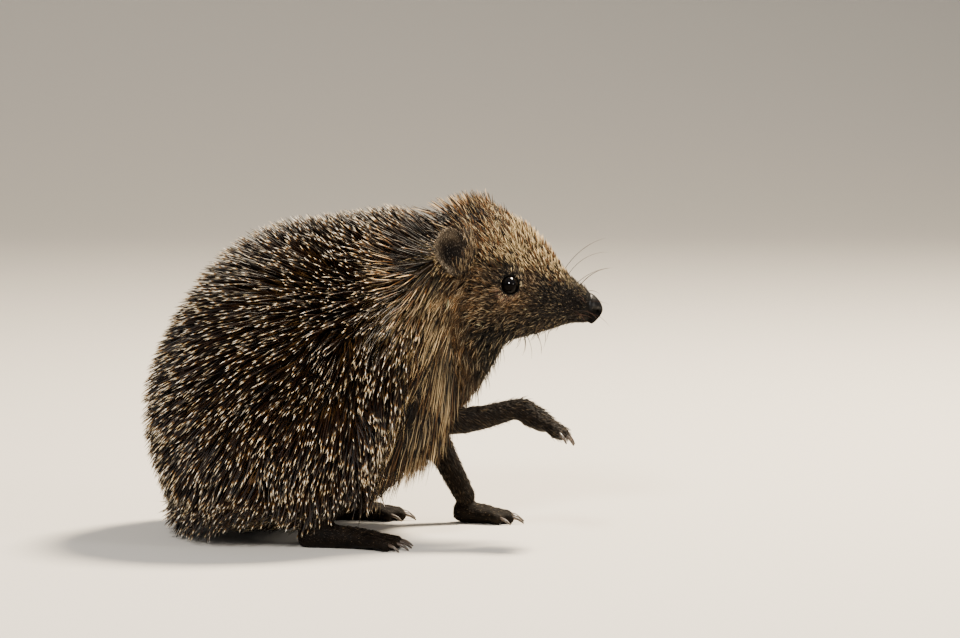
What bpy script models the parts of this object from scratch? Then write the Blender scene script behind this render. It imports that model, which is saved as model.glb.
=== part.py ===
"""A life-size European hedgehog that stands with its forequarters raised and one forepaw lifted.

The animal faces +X, its left side is +Y and +Z is up. The origin is on the floor, below the middle
of the animal. The tables hold millimetres, and MM turns them to Blender's metres. Each solid has the
outer shape of the coat, out to the tips of spines and hair. The body is lofted whole, through
sections that fan out from back to belly, and is then parted by thin plane cuts. The legs, ears, eyes
and tail sit in pockets that are cut GAP wider than they are.
"""

import math

import bmesh
import bpy
import numpy as np
from mathutils import Matrix, Vector

MM = 0.001
GAP = 0.3 * MM  # clearance between solids that meet

# ---------------------------------------------------------------- driving dimensions, in millimetres

# Sections of the body with its coat, from the rump to the nose. Each is an oval that stands on the
# animal's middle plane, from a ventral point (x, z) to a dorsal point (x, z).
# name, dorsal x, z, ventral x, z, half width, sag (how much wider the lower half is)
BODY_SECTIONS = (
    ("rump", -79.3, 24.0, -52.0, -0.8, 33.0, 0.10),
    ("haunch", -83.4, 46.0, -34.0, -0.6, 48.0, 0.14),
    ("hip", -79.0, 66.0, -19.0, 2.0, 55.5, 0.16),
    ("loin", -69.0, 84.5, -7.0, 6.0, 58.0, 0.16),
    ("waist", -54.0, 102.0, 3.0, 11.0, 57.5, 0.15),
    ("ribs", -35.0, 112.6, 11.0, 17.5, 54.5, 0.14),
    ("withers", -15.0, 115.0, 19.0, 25.5, 49.0, 0.12),
    ("shoulder", 5.0, 117.2, 28.0, 35.0, 41.5, 0.10),
    ("nape", 20.0, 119.3, 36.5, 46.0, 33.5, 0.06),
    ("crown", 31.0, 123.3, 43.0, 57.0, 26.5, 0.02),
    ("cheek", 42.0, 121.3, 47.5, 68.3, 20.5, 0.02),
    ("brow", 51.5, 114.5, 54.0, 70.4, 15.0, 0.06),
    ("bridge", 59.0, 108.6, 60.5, 72.3, 12.0, 0.06),
    ("muzzle", 65.5, 100.6, 66.5, 74.2, 9.4, 0.05),
    ("snout", 71.8, 93.0, 71.5, 75.9, 7.1, 0.02),
    ("nose_root", 77.0, 88.3, 75.8, 76.6, 5.3, 0.0),
    ("nose_pad", 80.6, 86.0, 79.2, 76.0, 4.3, 0.0),
)
RUMP_TIP = (-71.5, 8.0)  # where the loft closes at the rear, x and z
NOSE_TIP = (83.3, 81.0)  # where it closes at the front
RINGS_PER_SECTION = 2
RING_POINTS = 24

# Cuts that part the body, each through a dorsal and a ventral point (x, z).
NECK_REAR = ((-16.0, 115.5), (34.0, 43.0))
NECK_FRONT = ((2.0, 118.0), (44.0, 62.0))
NOSE_ROOT = ((77.6, 88.0), (76.9, 76.0))
MOUTH = ((80.0, 77.6), (60.0, 79.4), (53.0, 76.0), (51.0, 60.0), (80.0, 60.0))  # outline of the jaw
PAST_HEAD = 40.0  # half the width of a cut that goes right through the head

EYE_CENTRE = (49.1, 91.4)  # x, z
EYE_RADIUS = 3.3
EYE_SUNK = 1.6  # how far the centre lies inside the coat's surface

EAR_CENTRE = (29.3, 103.6)  # x, z
EAR_WIDTH, EAR_HEIGHT, EAR_CUP, EAR_THICKNESS = 13.4, 17.4, 3.2, 1.3
EAR_STANDS = 1.2  # how far its middle stands off the coat
EAR_OPENING = 8.0  # how far the coat is cleared in front of its hollow
EAR_TURN = (-10, -10, 26)  # degrees about x, y and z, for the right ear

NOSTRIL_CENTRE = (81.4, 2.7, 79.9)  # x, distance from the middle plane, z
NOSTRIL_RADIUS = 0.9

# Limbs as paths of (x, y, z, radius across, radius in the limb's own plane), from the trunk outwards.
# y is given for the left side, as a distance from the middle plane.
LIFTED_FORELEG = (
    (4, 22, 60, 8, 9.5),
    (15, 26, 50, 6.8, 8),
    (27, 28, 44, 5.2, 5.6),
    (40, 28.5, 45.4, 4.2, 4.7),
    (51, 27.5, 48.2, 3.8, 4.0),
)
PLANTED_FORELEG = (
    (3, 22, 60, 8, 9.5),
    (13, 26, 50, 7, 8.5),
    (20, 28.5, 36, 5.4, 6.2),
    (27, 29, 22, 4.4, 4.9),
    (33.5, 28.5, 9.5, 4.0, 4.2),
)
HINDLEG = (
    (-9, 27, 33, 10, 11.5),
    (-12.5, 30.5, 23, 8, 9),
    (-16, 33, 14.5, 6, 6.5),
    (-20.5, 34.5, 7.6, 4.6, 4.8),
)
TAIL = (
    (-46, 0, 9, 4.0, 4.0),
    (-55, 0, 6.6, 3.6, 3.6),
    (-63, 0, 4.6, 2.8, 2.8),
    (-70, 0, 3.6, 1.9, 1.9),
)
LIMB_POINTS = 10
TOE_POINTS = 6
CLAW_POINTS = 4

# Feet in their own frame: +X to the toes, sole on z = 0.
# palm: path of (x, y, z, radius across, radius up); toe_spread: degrees of the inner and outer toe
FORE_PALM = ((0, 0, 4.6, 3.6, 3.6), (5, 0, 3.9, 5.2, 3.9), (11, 0, 3.2, 6.4, 3.3))
HIND_PALM = ((0, 0, 4.2, 3.4, 3.9), (10, 0, 4.4, 4.2, 4.3), (19, 0, 3.8, 5.4, 3.7), (25, 0, 3.2, 6.0, 3.2))
FORE_FOOT = {"palm": FORE_PALM, "toe_start": 7.5, "toe_length": 11.0, "toe_spread": 29}
HIND_FOOT = {"palm": HIND_PALM, "toe_start": 20.0, "toe_length": 13.0, "toe_spread": 22}
TOE_COUNT = 5
TOE_SHARES = (0.62, 1.0, 1.0, 1.0, 0.85)  # lengths of the toes, from the inner one
TOE_ROW = 8.4  # how far apart the first and the last toe start
TOE_RADIUS = 2.1
CLAW_LENGTH = 5.0
CLAW_RADIUS = 0.8
END_LEANS = {1: (50,), 2: (30, 65)}  # degrees round a rounded end, for each ring of it
SOLE_PRESS = 0.5  # how far a planted foot is pressed into the floor before its sole is cut flat

PLANTED_FORE_AT = (31.5, 28.5, 4)  # x, y, and the angle in degrees that the toes turn out
LIFTED_FORE_AT = (50.5, 27.5, 44.6)
LIFTED_DROOP = 24  # degrees that the lifted paw hangs below level
HIND_AT = (-23.0, 34.5, 7)

# ---------------------------------------------------------------- curves


def catmull(a, b, c, d, t):
    """The smooth curve that runs from b at t = 0 to c at t = 1, with neighbours a and d."""
    return b + 0.5 * t * (c - a + t * (2 * a - 5 * b + 4 * c - d + t * (3 * (b - c) + d - a)))


def through(points, s):
    """The place s along a curve through the points, where points[1] is 0 and the ends only lead in."""
    i = min(int(s), len(points) - 4)
    return catmull(*points[i : i + 4], s - i)


def closed_sections():
    """The body's sections with its two tips, and beyond each tip the next section turned over."""
    rows = [np.array(row[1:], float) for row in BODY_SECTIONS]
    rump = np.array([*RUMP_TIP, *RUMP_TIP, 0, rows[0][5]])
    nose = np.array([*NOSE_TIP, *NOSE_TIP, 0, rows[-1][5]])

    def turned(row):
        return np.array([row[2], row[3], row[0], row[1], -row[4], row[5]])

    return [turned(rows[0]), rump, *rows, nose, turned(rows[-1])]


SECTIONS = closed_sections()
LAST = len(SECTIONS) - 3  # the place of the nose tip along the body


def body_ring(s):
    """The points of the oval section at place s along the body, in metres."""
    dx, dz, vx, vz, half, sag = through(SECTIONS, s)
    ring = []
    for k in range(RING_POINTS):
        turn = math.tau * k / RING_POINTS
        up, out = math.cos(turn), math.sin(turn)
        x = (dx + vx) / 2 + up * (dx - vx) / 2
        z = (dz + vz) / 2 + up * (dz - vz) / 2
        ring.append(Vector((x, half * out * (1 - sag * up), z)) * MM)
    return ring


def side_at(x, z):
    """How far the body's side lies from its middle plane at this x and z, all in millimetres."""
    steps = 40
    for i in range(1, (LAST - 1) * steps):
        dx, dz, vx, vz, half, sag = through(SECTIONS, 1 + i / steps)
        along = (x - vx) * (dz - vz) - (z - vz) * (dx - vx)
        if along < 0:
            up = 2 * (z - vz) / (dz - vz) - 1
            return half * math.sqrt(max(0.0, 1 - up * up)) * (1 - sag * up)
    return 0.0


# ---------------------------------------------------------------- meshes


def start_again():
    for obj in list(bpy.data.objects):
        bpy.data.objects.remove(obj)


def finish(bm, name):
    """Closes a mesh with its faces pointing out, as a new object."""
    bmesh.ops.recalc_face_normals(bm, faces=bm.faces[:])
    mesh = bpy.data.meshes.new(name)
    bm.to_mesh(mesh)
    bm.free()
    mesh.shade_smooth()
    obj = bpy.data.objects.new(name, mesh)
    bpy.context.scene.collection.objects.link(obj)
    return obj


def skinned(bm, rings, start=None, end=None):
    """Joins rings of points into a tube. An end is a single point, or a flat cap where it is None."""
    loops = [[bm.verts.new(p) for p in ring] for ring in rings]
    count = len(loops[0])
    for one, two in zip(loops, loops[1:]):
        for k in range(count):
            nxt = (k + 1) % count
            bm.faces.new((one[k], one[nxt], two[nxt], two[k]))
    for tip, loop in ((start, loops[0]), (end, loops[-1])):
        if tip is None:
            bm.faces.new(loop)
            continue
        point = bm.verts.new(tip)
        for k in range(count):
            bm.faces.new((point, loop[k], loop[(k + 1) % count]))


def whole_body():
    """The head, neck and trunk as one closed mesh."""
    bm = bmesh.new()
    places = [0.35, 0.7]
    places += [i / RINGS_PER_SECTION for i in range(RINGS_PER_SECTION, (LAST - 1) * RINGS_PER_SECTION + 1)]
    places += [LAST - 0.7, LAST - 0.4, LAST - 0.15]
    rump = Vector((RUMP_TIP[0], 0, RUMP_TIP[1])) * MM
    nose = Vector((NOSE_TIP[0], 0, NOSE_TIP[1])) * MM
    skinned(bm, [body_ring(s) for s in places], rump, nose)
    return bm


def cut_plane(dorsal_ventral):
    """The point and the forward normal of the plane through a dorsal and a ventral point."""
    (dx, dz), (vx, vz) = dorsal_ventral
    up = Vector((dx - vx, 0, dz - vz))
    return Vector((vx, 0, vz)) * MM, Vector((0, 1, 0)).cross(up).normalized()


def body_length(name, behind=None, before=None):
    """The length of the body in front of one cut and behind another, with a flat cap at each."""
    bm = whole_body()
    for cut, side in ((behind, 1), (before, -1)):
        if cut is None:
            continue
        point, forward = cut_plane(cut)
        done = bmesh.ops.bisect_plane(
            bm,
            geom=bm.verts[:] + bm.edges[:] + bm.faces[:],
            plane_co=point + forward * side * GAP / 2,
            plane_no=forward,
            clear_inner=side > 0,
            clear_outer=side < 0,
        )
        rim = [e for e in done["geom_cut"] if isinstance(e, bmesh.types.BMEdge)]
        bmesh.ops.edgenet_fill(bm, edges=rim)
    return finish(bm, name)


def limb_rings(path, points, grow, steps):
    """Rings round a limb's path, with a rounded end at each tip. Steps is the rings for each point."""
    rows = [np.array(row, float) for row in path]
    rows = [2 * rows[0] - rows[1], *rows, 2 * rows[-1] - rows[-2]]
    spans = len(path) - 1
    middle = [through(rows, i / steps) for i in range(steps * spans + 1)]
    rings = []
    for i, row in enumerate(middle):
        ahead, back = middle[min(i + 1, len(middle) - 1)], middle[max(i - 1, 0)]
        along = Vector(ahead[:3] - back[:3]).normalized()
        across = (Vector((0, 1, 0)) - along * along.y).normalized()
        up = along.cross(across)
        rings.append((Vector(row[:3]), along, across, up, row[3] + grow, row[4] + grow))
    leans = END_LEANS[steps]
    domed = [shifted(rings[0], -1, lean) for lean in reversed(leans)]
    domed += rings
    domed += [shifted(rings[-1], 1, lean) for lean in leans]
    return [ring_points(ring, points) for ring in domed]


def shifted(ring, way, lean):
    """A smaller ring past the end of a limb, so that the end is rounded."""
    centre, along, across, up, wide, tall = ring
    share, reach = math.cos(math.radians(lean)), math.sin(math.radians(lean))
    tip = centre + along * way * reach * min(wide, tall) * 0.8
    return (tip, along, across, up, wide * share, tall * share)


def ring_points(ring, count):
    centre, _, across, up, wide, tall = ring
    turns = [math.tau * k / count for k in range(count)]
    return [(centre + across * wide * math.sin(t) + up * tall * math.cos(t)) * MM for t in turns]


def limb(name, path, side, points=LIMB_POINTS, grow=0.0, steps=2):
    """A tapered, rounded limb on the left (side 1) or the right (side -1)."""
    bm = bmesh.new()
    skinned(bm, limb_rings([(x, y * side, z, a, b) for x, y, z, a, b in path], points, grow, steps))
    return finish(bm, name)


def along_toe(start, turn, stations):
    """A path along a toe, from stations of (distance, height, radius)."""
    return [
        (start.x + math.cos(turn) * far, start.y + math.sin(turn) * far, height, radius, radius)
        for far, height, radius in stations
    ]


def foot(name, sizes, side, place, legs, floor=None):
    """A palm with toes joined by Booleans, hollowed for its leg and claws and cut flat by the floor."""
    obj = limb(name, sizes["palm"], 1, steps=1)
    obj.matrix_world = place
    for n in range(TOE_COUNT):
        share = n / (TOE_COUNT - 1) * 2 - 1  # -1 at the first toe, which is the inner one
        turn = math.radians(sizes["toe_spread"] * share) * side
        length = sizes["toe_length"] * TOE_SHARES[n]
        start = Vector((sizes["toe_start"], side * share * TOE_ROW / 2, 0))
        toe_stations = (
            (0, 3.2, TOE_RADIUS),
            (length * 0.55, 3.5, TOE_RADIUS * 0.93),
            (length, 2.3, TOE_RADIUS),
        )
        claw_stations = (
            (length, 3.1, CLAW_RADIUS),
            (length + CLAW_LENGTH * 0.6, 2.5, CLAW_RADIUS * 0.85),
            (length + CLAW_LENGTH, 0.9, CLAW_RADIUS * 0.4),
        )
        toe = limb(f"{name}_toe_{n + 1}", along_toe(start, turn, toe_stations), 1, TOE_POINTS, steps=1)
        claw_path = along_toe(start, turn, claw_stations)
        claw = limb(f"{name}_claw_{n + 1}", claw_path, 1, CLAW_POINTS, steps=1)
        claw_space = limb(f"{name}_claw_space_{n + 1}", claw_path, 1, CLAW_POINTS, GAP / MM, steps=1)
        for piece in (toe, claw, claw_space):
            piece.matrix_world = place
        boolean(obj, "UNION", toe)
        boolean(obj, "DIFFERENCE", claw_space)
        paint(claw, "claw_horn")
    for leg in legs:
        boolean(obj, "DIFFERENCE", leg)
    if floor:
        boolean(obj, "DIFFERENCE", floor)
    return obj


def boolean(obj, operation, other):
    """Adds a Boolean, and makes the other object a helper that isn't shown."""
    modifier = obj.modifiers.new(f"{operation.lower()}_{other.name}", "BOOLEAN")
    modifier.operation = operation
    modifier.object = other
    other.hide_render = True
    other.display_type = "WIRE"


def block(name, low, high):
    """A closed box between two corners, in millimetres."""
    bm = bmesh.new()
    bmesh.ops.create_cube(bm, size=1)
    size = Vector(high) - Vector(low)
    for v in bm.verts:
        v.co = (Vector(low) + Vector([(c + 0.5) * s for c, s in zip(v.co, size)])) * MM
    return finish(bm, name)


def prism(name, outline, half_width, shift=0.0):
    """A plate whose side view is the outline (x, z). Shift moves it forwards and down."""
    bm = bmesh.new()
    base = bm.faces.new([bm.verts.new(Vector((x + shift, -half_width, z - shift)) * MM) for x, z in outline])
    grown = bmesh.ops.extrude_face_region(bm, geom=[base])
    moved = [v for v in grown["geom"] if isinstance(v, bmesh.types.BMVert)]
    bmesh.ops.translate(bm, verts=moved, vec=(0, 2 * half_width * MM, 0))
    return finish(bm, name)


def ball(name, centre, radius, rings=8):
    """A round solid, in millimetres."""
    bm = bmesh.new()
    bmesh.ops.create_uvsphere(bm, u_segments=rings + 6, v_segments=rings, radius=radius * MM)
    bmesh.ops.translate(bm, verts=bm.verts[:], vec=Vector(centre) * MM)
    return finish(bm, name)


def ear(name, side, grow=0.0):
    """A rounded, cupped leaf of skin. Its hollow faces outwards and a little forwards."""
    bm = bmesh.new()
    rings, points = 3, 16
    thick = EAR_THICKNESS / 2 + grow

    def surface(share, turn, face):
        wide = (EAR_WIDTH / 2 + grow) * share * math.sin(turn)
        tall = (EAR_HEIGHT / 2 + grow) * share * math.cos(turn)
        taper = 1 - 0.28 * max(0.0, -math.cos(turn)) * share  # narrower at its root
        edge = 1 - 0.55 * share**4  # a thinner, rounded rim
        reach = share * (1 + 2 * grow / EAR_WIDTH)  # so that a wider copy keeps to the same cup
        opening = EAR_OPENING if grow and face < 0 else 0.0  # a pocket also clears the ear's hollow
        return Vector((wide * taper, EAR_CUP * (1 - reach * reach) + face * thick * edge - opening, tall))

    sheets = []
    for face in (1, -1):
        loops = [
            [bm.verts.new(surface(r / rings, math.tau * k / points, face)) for k in range(points)]
            for r in range(1, rings + 1)
        ]
        centre = bm.verts.new(surface(0, 0, face))
        for k in range(points):
            nxt = (k + 1) % points
            bm.faces.new((centre, loops[0][k], loops[0][nxt]))
            for one, two in zip(loops, loops[1:]):
                bm.faces.new((one[k], one[nxt], two[nxt], two[k]))
        sheets.append(loops[-1])
    for k in range(points):
        nxt = (k + 1) % points
        bm.faces.new((sheets[0][k], sheets[0][nxt], sheets[1][nxt], sheets[1][k]))
    x, z = EAR_CENTRE
    tilt, roll, yaw = (math.radians(a) for a in EAR_TURN)
    turn = Matrix.Rotation(yaw, 4, "Z") @ Matrix.Rotation(roll, 4, "Y") @ Matrix.Rotation(tilt, 4, "X")
    bmesh.ops.transform(bm, matrix=turn, verts=bm.verts[:])
    bmesh.ops.translate(bm, verts=bm.verts[:], vec=(x, -(side_at(x, z) + EAR_STANDS), z))
    bmesh.ops.scale(bm, vec=(MM, -side * MM, MM), verts=bm.verts[:])
    return finish(bm, name)


# ---------------------------------------------------------------- materials

FINISHES = {  # slot: linear colour and roughness
    "spiny_coat": ((0.045, 0.028, 0.018), 0.55),
    "coarse_fur": ((0.19, 0.12, 0.065), 0.8),
    "bare_skin": ((0.055, 0.038, 0.03), 0.65),
    "nose_leather": ((0.012, 0.013, 0.015), 0.25),
    "eye": ((0.004, 0.004, 0.005), 0.08),
    "claw_horn": ((0.16, 0.11, 0.075), 0.4),
}


def material(slot):
    colour, roughness = FINISHES[slot]
    made = bpy.data.materials.get(slot) or bpy.data.materials.new(slot)
    made.use_nodes = True
    shader = made.node_tree.nodes["Principled BSDF"]
    shader.inputs["Base Color"].default_value = (*colour, 1)
    shader.inputs["Roughness"].default_value = roughness
    return made


def paint(obj, slot):
    obj.data.materials.clear()
    obj.data.materials.append(material(slot))


# ---------------------------------------------------------------- the animal


def foot_place(x, y, lift, turn_out, droop, side):
    """The place of a foot: its ankle at x, y and lift, in millimetres, and its turns in degrees."""
    turned = Matrix.Rotation(math.radians(turn_out * side), 4, "Z")
    hanging = Matrix.Rotation(math.radians(droop), 4, "Y")
    return Matrix.Translation(Vector((x, y * side, lift)) * MM) @ turned @ hanging


def main():
    start_again()
    trunk = body_length("trunk", before=NECK_REAR)
    neck = body_length("neck", behind=NECK_REAR, before=NECK_FRONT)
    head = body_length("head", behind=NECK_FRONT, before=NOSE_ROOT)
    nose = body_length("nose", behind=NOSE_ROOT)
    floor = block("floor_cut", (-120, -90, -20), (120, 90, 0))
    boolean(trunk, "DIFFERENCE", floor)

    # legs: name, path, side, where the foot stands
    planted = {"lift": -SOLE_PRESS, "droop": 0, "floor": floor}
    lifted = {"lift": LIFTED_FORE_AT[2], "droop": LIFTED_DROOP, "floor": None}
    legs = (
        ("foreleg_right", "forefoot_right", LIFTED_FORELEG, -1, FORE_FOOT, (*LIFTED_FORE_AT[:2], 0), lifted),
        ("foreleg_left", "forefoot_left", PLANTED_FORELEG, 1, FORE_FOOT, PLANTED_FORE_AT, planted),
        ("hindleg_right", "hindfoot_right", HINDLEG, -1, HIND_FOOT, HIND_AT, planted),
        ("hindleg_left", "hindfoot_left", HINDLEG, 1, HIND_FOOT, HIND_AT, planted),
    )
    for leg_name, foot_name, path, side, sizes, (x, y, turn_out), stance in legs:
        leg = limb(leg_name, path, side)
        pocket = limb(f"{leg_name}_pocket", path, side, grow=GAP / MM)
        place = foot_place(x, y, stance["lift"], turn_out, stance["droop"], side)
        made_foot = foot(foot_name, sizes, side, place, [pocket], stance["floor"])
        boolean(trunk, "DIFFERENCE", pocket)
        paint(leg, "bare_skin")
        paint(made_foot, "bare_skin")

    tail = limb("tail", TAIL, 1)
    boolean(trunk, "DIFFERENCE", limb("tail_pocket", TAIL, 1, grow=GAP / MM))

    for side, word in ((1, "left"), (-1, "right")):
        x, z = EYE_CENTRE
        at = (x, side * (side_at(x, z) - EYE_SUNK), z)
        paint(ball(f"eye_{word}", at, EYE_RADIUS), "eye")
        boolean(head, "DIFFERENCE", ball(f"eye_{word}_socket", at, EYE_RADIUS + GAP / MM))
        paint(ear(f"ear_{word}", side), "bare_skin")
        ear_pocket = ear(f"ear_{word}_pocket", side, grow=1.5 * GAP / MM)
        boolean(head, "DIFFERENCE", ear_pocket)
        boolean(neck, "DIFFERENCE", ear_pocket)
        x, y, z = NOSTRIL_CENTRE
        boolean(nose, "DIFFERENCE", ball(f"nostril_{word}", (x, side * y, z), NOSTRIL_RADIUS, rings=5))

    jaw = body_length("lower_jaw", behind=NECK_FRONT, before=NOSE_ROOT)
    boolean(jaw, "INTERSECT", prism("jaw_shape", MOUTH, PAST_HEAD, shift=GAP / MM))
    boolean(head, "DIFFERENCE", prism("jaw_space", MOUTH, PAST_HEAD))

    for obj, slot in ((trunk, "spiny_coat"), (neck, "spiny_coat"), (head, "coarse_fur"), (jaw, "coarse_fur")):
        paint(obj, slot)
    paint(nose, "nose_leather")
    paint(tail, "bare_skin")


main()
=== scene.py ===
# %% [markdown]
# # A European hedgehog, life size
#
# The solid model gives the animal's pose and its outline, out to the tips of its coat. This lesson
# puts the living surface inside that outline: one skin, two eyes, a nose of bare leather, claws of horn,
# and then the coat itself, which is spines on the back and coarse hair everywhere else. Every hair is a
# real piece of mesh, so the model looks the same in any program that opens it.

import math
from contextlib import contextmanager

import bpy
import numpy as np
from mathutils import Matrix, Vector
from mathutils.bvhtree import BVHTree
from mathutils.kdtree import KDTree


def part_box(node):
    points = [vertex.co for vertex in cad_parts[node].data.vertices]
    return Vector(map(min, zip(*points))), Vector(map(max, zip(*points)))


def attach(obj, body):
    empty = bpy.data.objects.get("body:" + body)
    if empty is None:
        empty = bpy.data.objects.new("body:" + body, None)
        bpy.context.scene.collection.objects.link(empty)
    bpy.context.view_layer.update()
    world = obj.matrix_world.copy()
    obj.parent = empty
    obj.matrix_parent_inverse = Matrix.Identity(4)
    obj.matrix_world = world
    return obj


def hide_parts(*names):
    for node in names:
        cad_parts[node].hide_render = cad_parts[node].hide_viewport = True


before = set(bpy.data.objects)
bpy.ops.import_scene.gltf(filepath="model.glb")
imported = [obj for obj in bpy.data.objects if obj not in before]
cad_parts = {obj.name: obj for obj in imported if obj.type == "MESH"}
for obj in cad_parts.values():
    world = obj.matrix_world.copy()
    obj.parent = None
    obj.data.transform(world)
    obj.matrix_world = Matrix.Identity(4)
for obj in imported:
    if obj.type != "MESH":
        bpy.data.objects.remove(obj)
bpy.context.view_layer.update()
MM = 0.001
rng = np.random.default_rng(11)

# %% [markdown]
# A few landmarks carry the rest: the tip of the nose, the eyes, the ears and the lower jaw. They are
# read from the solids, so the looks follow the solid model if it changes. Lengths below are in
# millimetres wherever a name ends in _mm, because hair is easier to think about in millimetres.

# %% Landmarks
SIDES = ("left", "right")
LEGS, FEET = ("foreleg", "hindleg"), ("forefoot", "hindfoot")
NOSE_TIP_UP_MM = 5.6


def box_mm(node):
    """The lowest and the highest corner of a solid, in millimetres."""
    return np.array(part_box(node)) / MM


EYES, EARS = ({side: box_mm(f"{part}_{side}").mean(axis=0) for side in SIDES} for part in ("eye", "ear"))
EYE_RADIUS_MM = np.ptp(box_mm("eye_left"), axis=0)[2] / 2
EAR_HALF_MM = np.ptp(box_mm("ear_left"), axis=0) / 2
JAW_LOW, JAW_HIGH = box_mm("lower_jaw")
NOSE_LOW, NOSE_HIGH = box_mm("nose")
NOSE_TIP = np.array([NOSE_HIGH[0], 0.0, NOSE_LOW[2] + NOSE_TIP_UP_MM])
print("nose tip", NOSE_TIP, "eye", EYES["right"], "ear", EARS["right"])

# %% [markdown]
# ## Helpers for meshes
#
# Blender's operators act on whatever is selected, so each step first selects one object alone. Points
# are moved with numpy, because a skin has a hundred thousand of them and Python loops would be slow.

# %% Select, edit, copy and finish objects
MERGE_M = 0.00001


def pick(*objects):
    """Selects these objects alone. The last one is active."""
    bpy.ops.object.select_all(action="DESELECT")
    for obj in objects:
        obj.select_set(True)
        bpy.context.view_layer.objects.active = obj


@contextmanager
def editing(obj, select="SELECT"):
    """Edit mode on one object, with its whole mesh selected, or deselected, or left as it is."""
    pick(obj)
    bpy.ops.object.mode_set(mode="EDIT")
    if select:
        bpy.ops.mesh.select_all(action=select)
    yield
    bpy.ops.object.mode_set(mode="OBJECT")


def new_object(name, data):
    obj = bpy.data.objects.new(name, data)
    bpy.context.scene.collection.objects.link(obj)
    return obj


def copy_of(node, name, swell_mm=0.0):
    """A copy of a solid with its loose triangles merged, made a little fatter or thinner."""
    copy = new_object(name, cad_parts[node].data.copy())
    copy.data.materials.clear()
    with editing(copy):
        bpy.ops.mesh.remove_doubles(threshold=MERGE_M)
        if swell_mm:
            bpy.ops.transform.shrink_fatten(value=swell_mm * MM)
    return copy


def join(objects, name):
    pick(*objects)
    bpy.ops.object.join()
    joined = bpy.context.view_layer.objects.active
    joined.name = name
    return joined


def apply_modifier(obj, kind, **settings):
    pick(obj)
    bpy.ops.object.modifier_add(type=kind)
    modifier = obj.modifiers[-1]
    for key, value in settings.items():
        setattr(modifier, key, value)
    bpy.ops.object.modifier_apply(modifier=modifier.name)


def remesh(obj, voxel_mm):
    """Melts all of an object's shapes into one surface."""
    apply_modifier(obj, "REMESH", mode="VOXEL", voxel_size=voxel_mm * MM, use_smooth_shade=True)


def tree_of(obj):
    """A search tree of an object's faces, for the nearest place or for where a ray meets it."""
    return BVHTree.FromObject(obj, bpy.context.evaluated_depsgraph_get())


# %% Read and write a mesh's points


def read(items, key, width, kind=float):
    """A value of each item of a mesh, as the rows of an array."""
    flat = np.empty(len(items) * width, kind)
    items.foreach_get(key, flat)
    return flat.reshape(-1, width)


def points_mm(obj):
    return read(obj.data.vertices, "co", 3) / MM


def set_points(obj, points):
    obj.data.vertices.foreach_set("co", (points * MM).ravel())
    obj.data.update()


def normals(obj):
    return read(obj.data.vertex_normals, "vector", 3)


def edge_ends(obj):
    return read(obj.data.edges, "vertices", 2, np.int32)


def set_attribute(mesh, name, kind, values):
    made = mesh.attributes.new(name, kind, "POINT")
    field = "color" if kind == "FLOAT_COLOR" else "value"
    made.data.foreach_set(field, np.asarray(values, np.float32).ravel())


def relaxed(points, ends, share, times=1):
    """Moves each point by a share of the way to the middle of its neighbours."""
    count = len(points)
    degree = np.bincount(ends.ravel(), minlength=count)[:, None]
    share = np.broadcast_to(np.asarray(share, float), count)[:, None]
    for _ in range(times):
        total = np.empty_like(points)
        for axis in range(3):
            column = points[:, axis]
            total[:, axis] = np.bincount(ends[:, 0], column[ends[:, 1]], count)
            total[:, axis] += np.bincount(ends[:, 1], column[ends[:, 0]], count)
        points = points + share * (total / degree - points)
    return points


# %% Lengths, directions and soft steps


def length(vectors):
    return np.linalg.norm(vectors, axis=1)


def unit(vectors):
    return vectors / np.maximum(np.linalg.norm(vectors, axis=-1, keepdims=True), 1e-9)


def nearest(points, places):
    """The distance from each point to the nearer of two places, such as the eyes."""
    return np.min([length(points - place) for place in places.values()], axis=0)


def smooth(low, high, value):
    """0 below low, 1 above high, and a soft step between. It also runs downwards if low is above high."""
    t = np.clip((np.asarray(value, float) - low) / (high - low), 0, 1)
    return t * t * (3 - 2 * t)


def bell(value):
    """1 at 0, and falling away on both sides, as a bell does."""
    return np.exp(-(value**2))


# %% [markdown]
# ## Camera, floor and light
#
# The animal is seen from its right side by a long lens, a little above the floor. A long lens flattens
# the view, which is why the legs on the far side hardly look smaller than those on the near side.

# %% Camera
LENS_MM, SENSOR_MM = 150.0, 36.0
VIEW_WIDTH_MM = 345.6
VIEW_CENTRE_MM = Vector((38.9, 0.0, 77.8))
CAMERA_UP = math.radians(5.0)

distance = VIEW_WIDTH_MM * LENS_MM / SENSOR_MM
camera = new_object("camera", bpy.data.cameras.new("camera"))
camera.data.lens = LENS_MM
camera.data.sensor_width = SENSOR_MM
away = Vector((0, -math.cos(CAMERA_UP), math.sin(CAMERA_UP)))
camera.location = (VIEW_CENTRE_MM + away * distance) * MM
camera.rotation_euler = (math.pi / 2 - CAMERA_UP, 0, 0)
bpy.context.scene.camera = camera
print("camera at", [round(c, 3) for c in camera.location])

# %% [markdown]
# ## Materials: two helpers
#
# Colours are written as sRGB hex, the way a painter's swatch is read off a screen, and one function
# turns them linear, which is what light needs. One small function adds a node with its settings, and
# links each input that is given another node's socket. A colour ramp also takes its stops there.

# %% Colour and node helpers


def colour(code, alpha=1.0):
    """A hex colour as linear red, green, blue and alpha."""
    parts = [int(code[i : i + 2], 16) / 255 for i in (0, 2, 4)]
    linear = [c / 12.92 if c <= 0.04045 else ((c + 0.055) / 1.055) ** 2.4 for c in parts]
    return (*linear, alpha)


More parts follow.
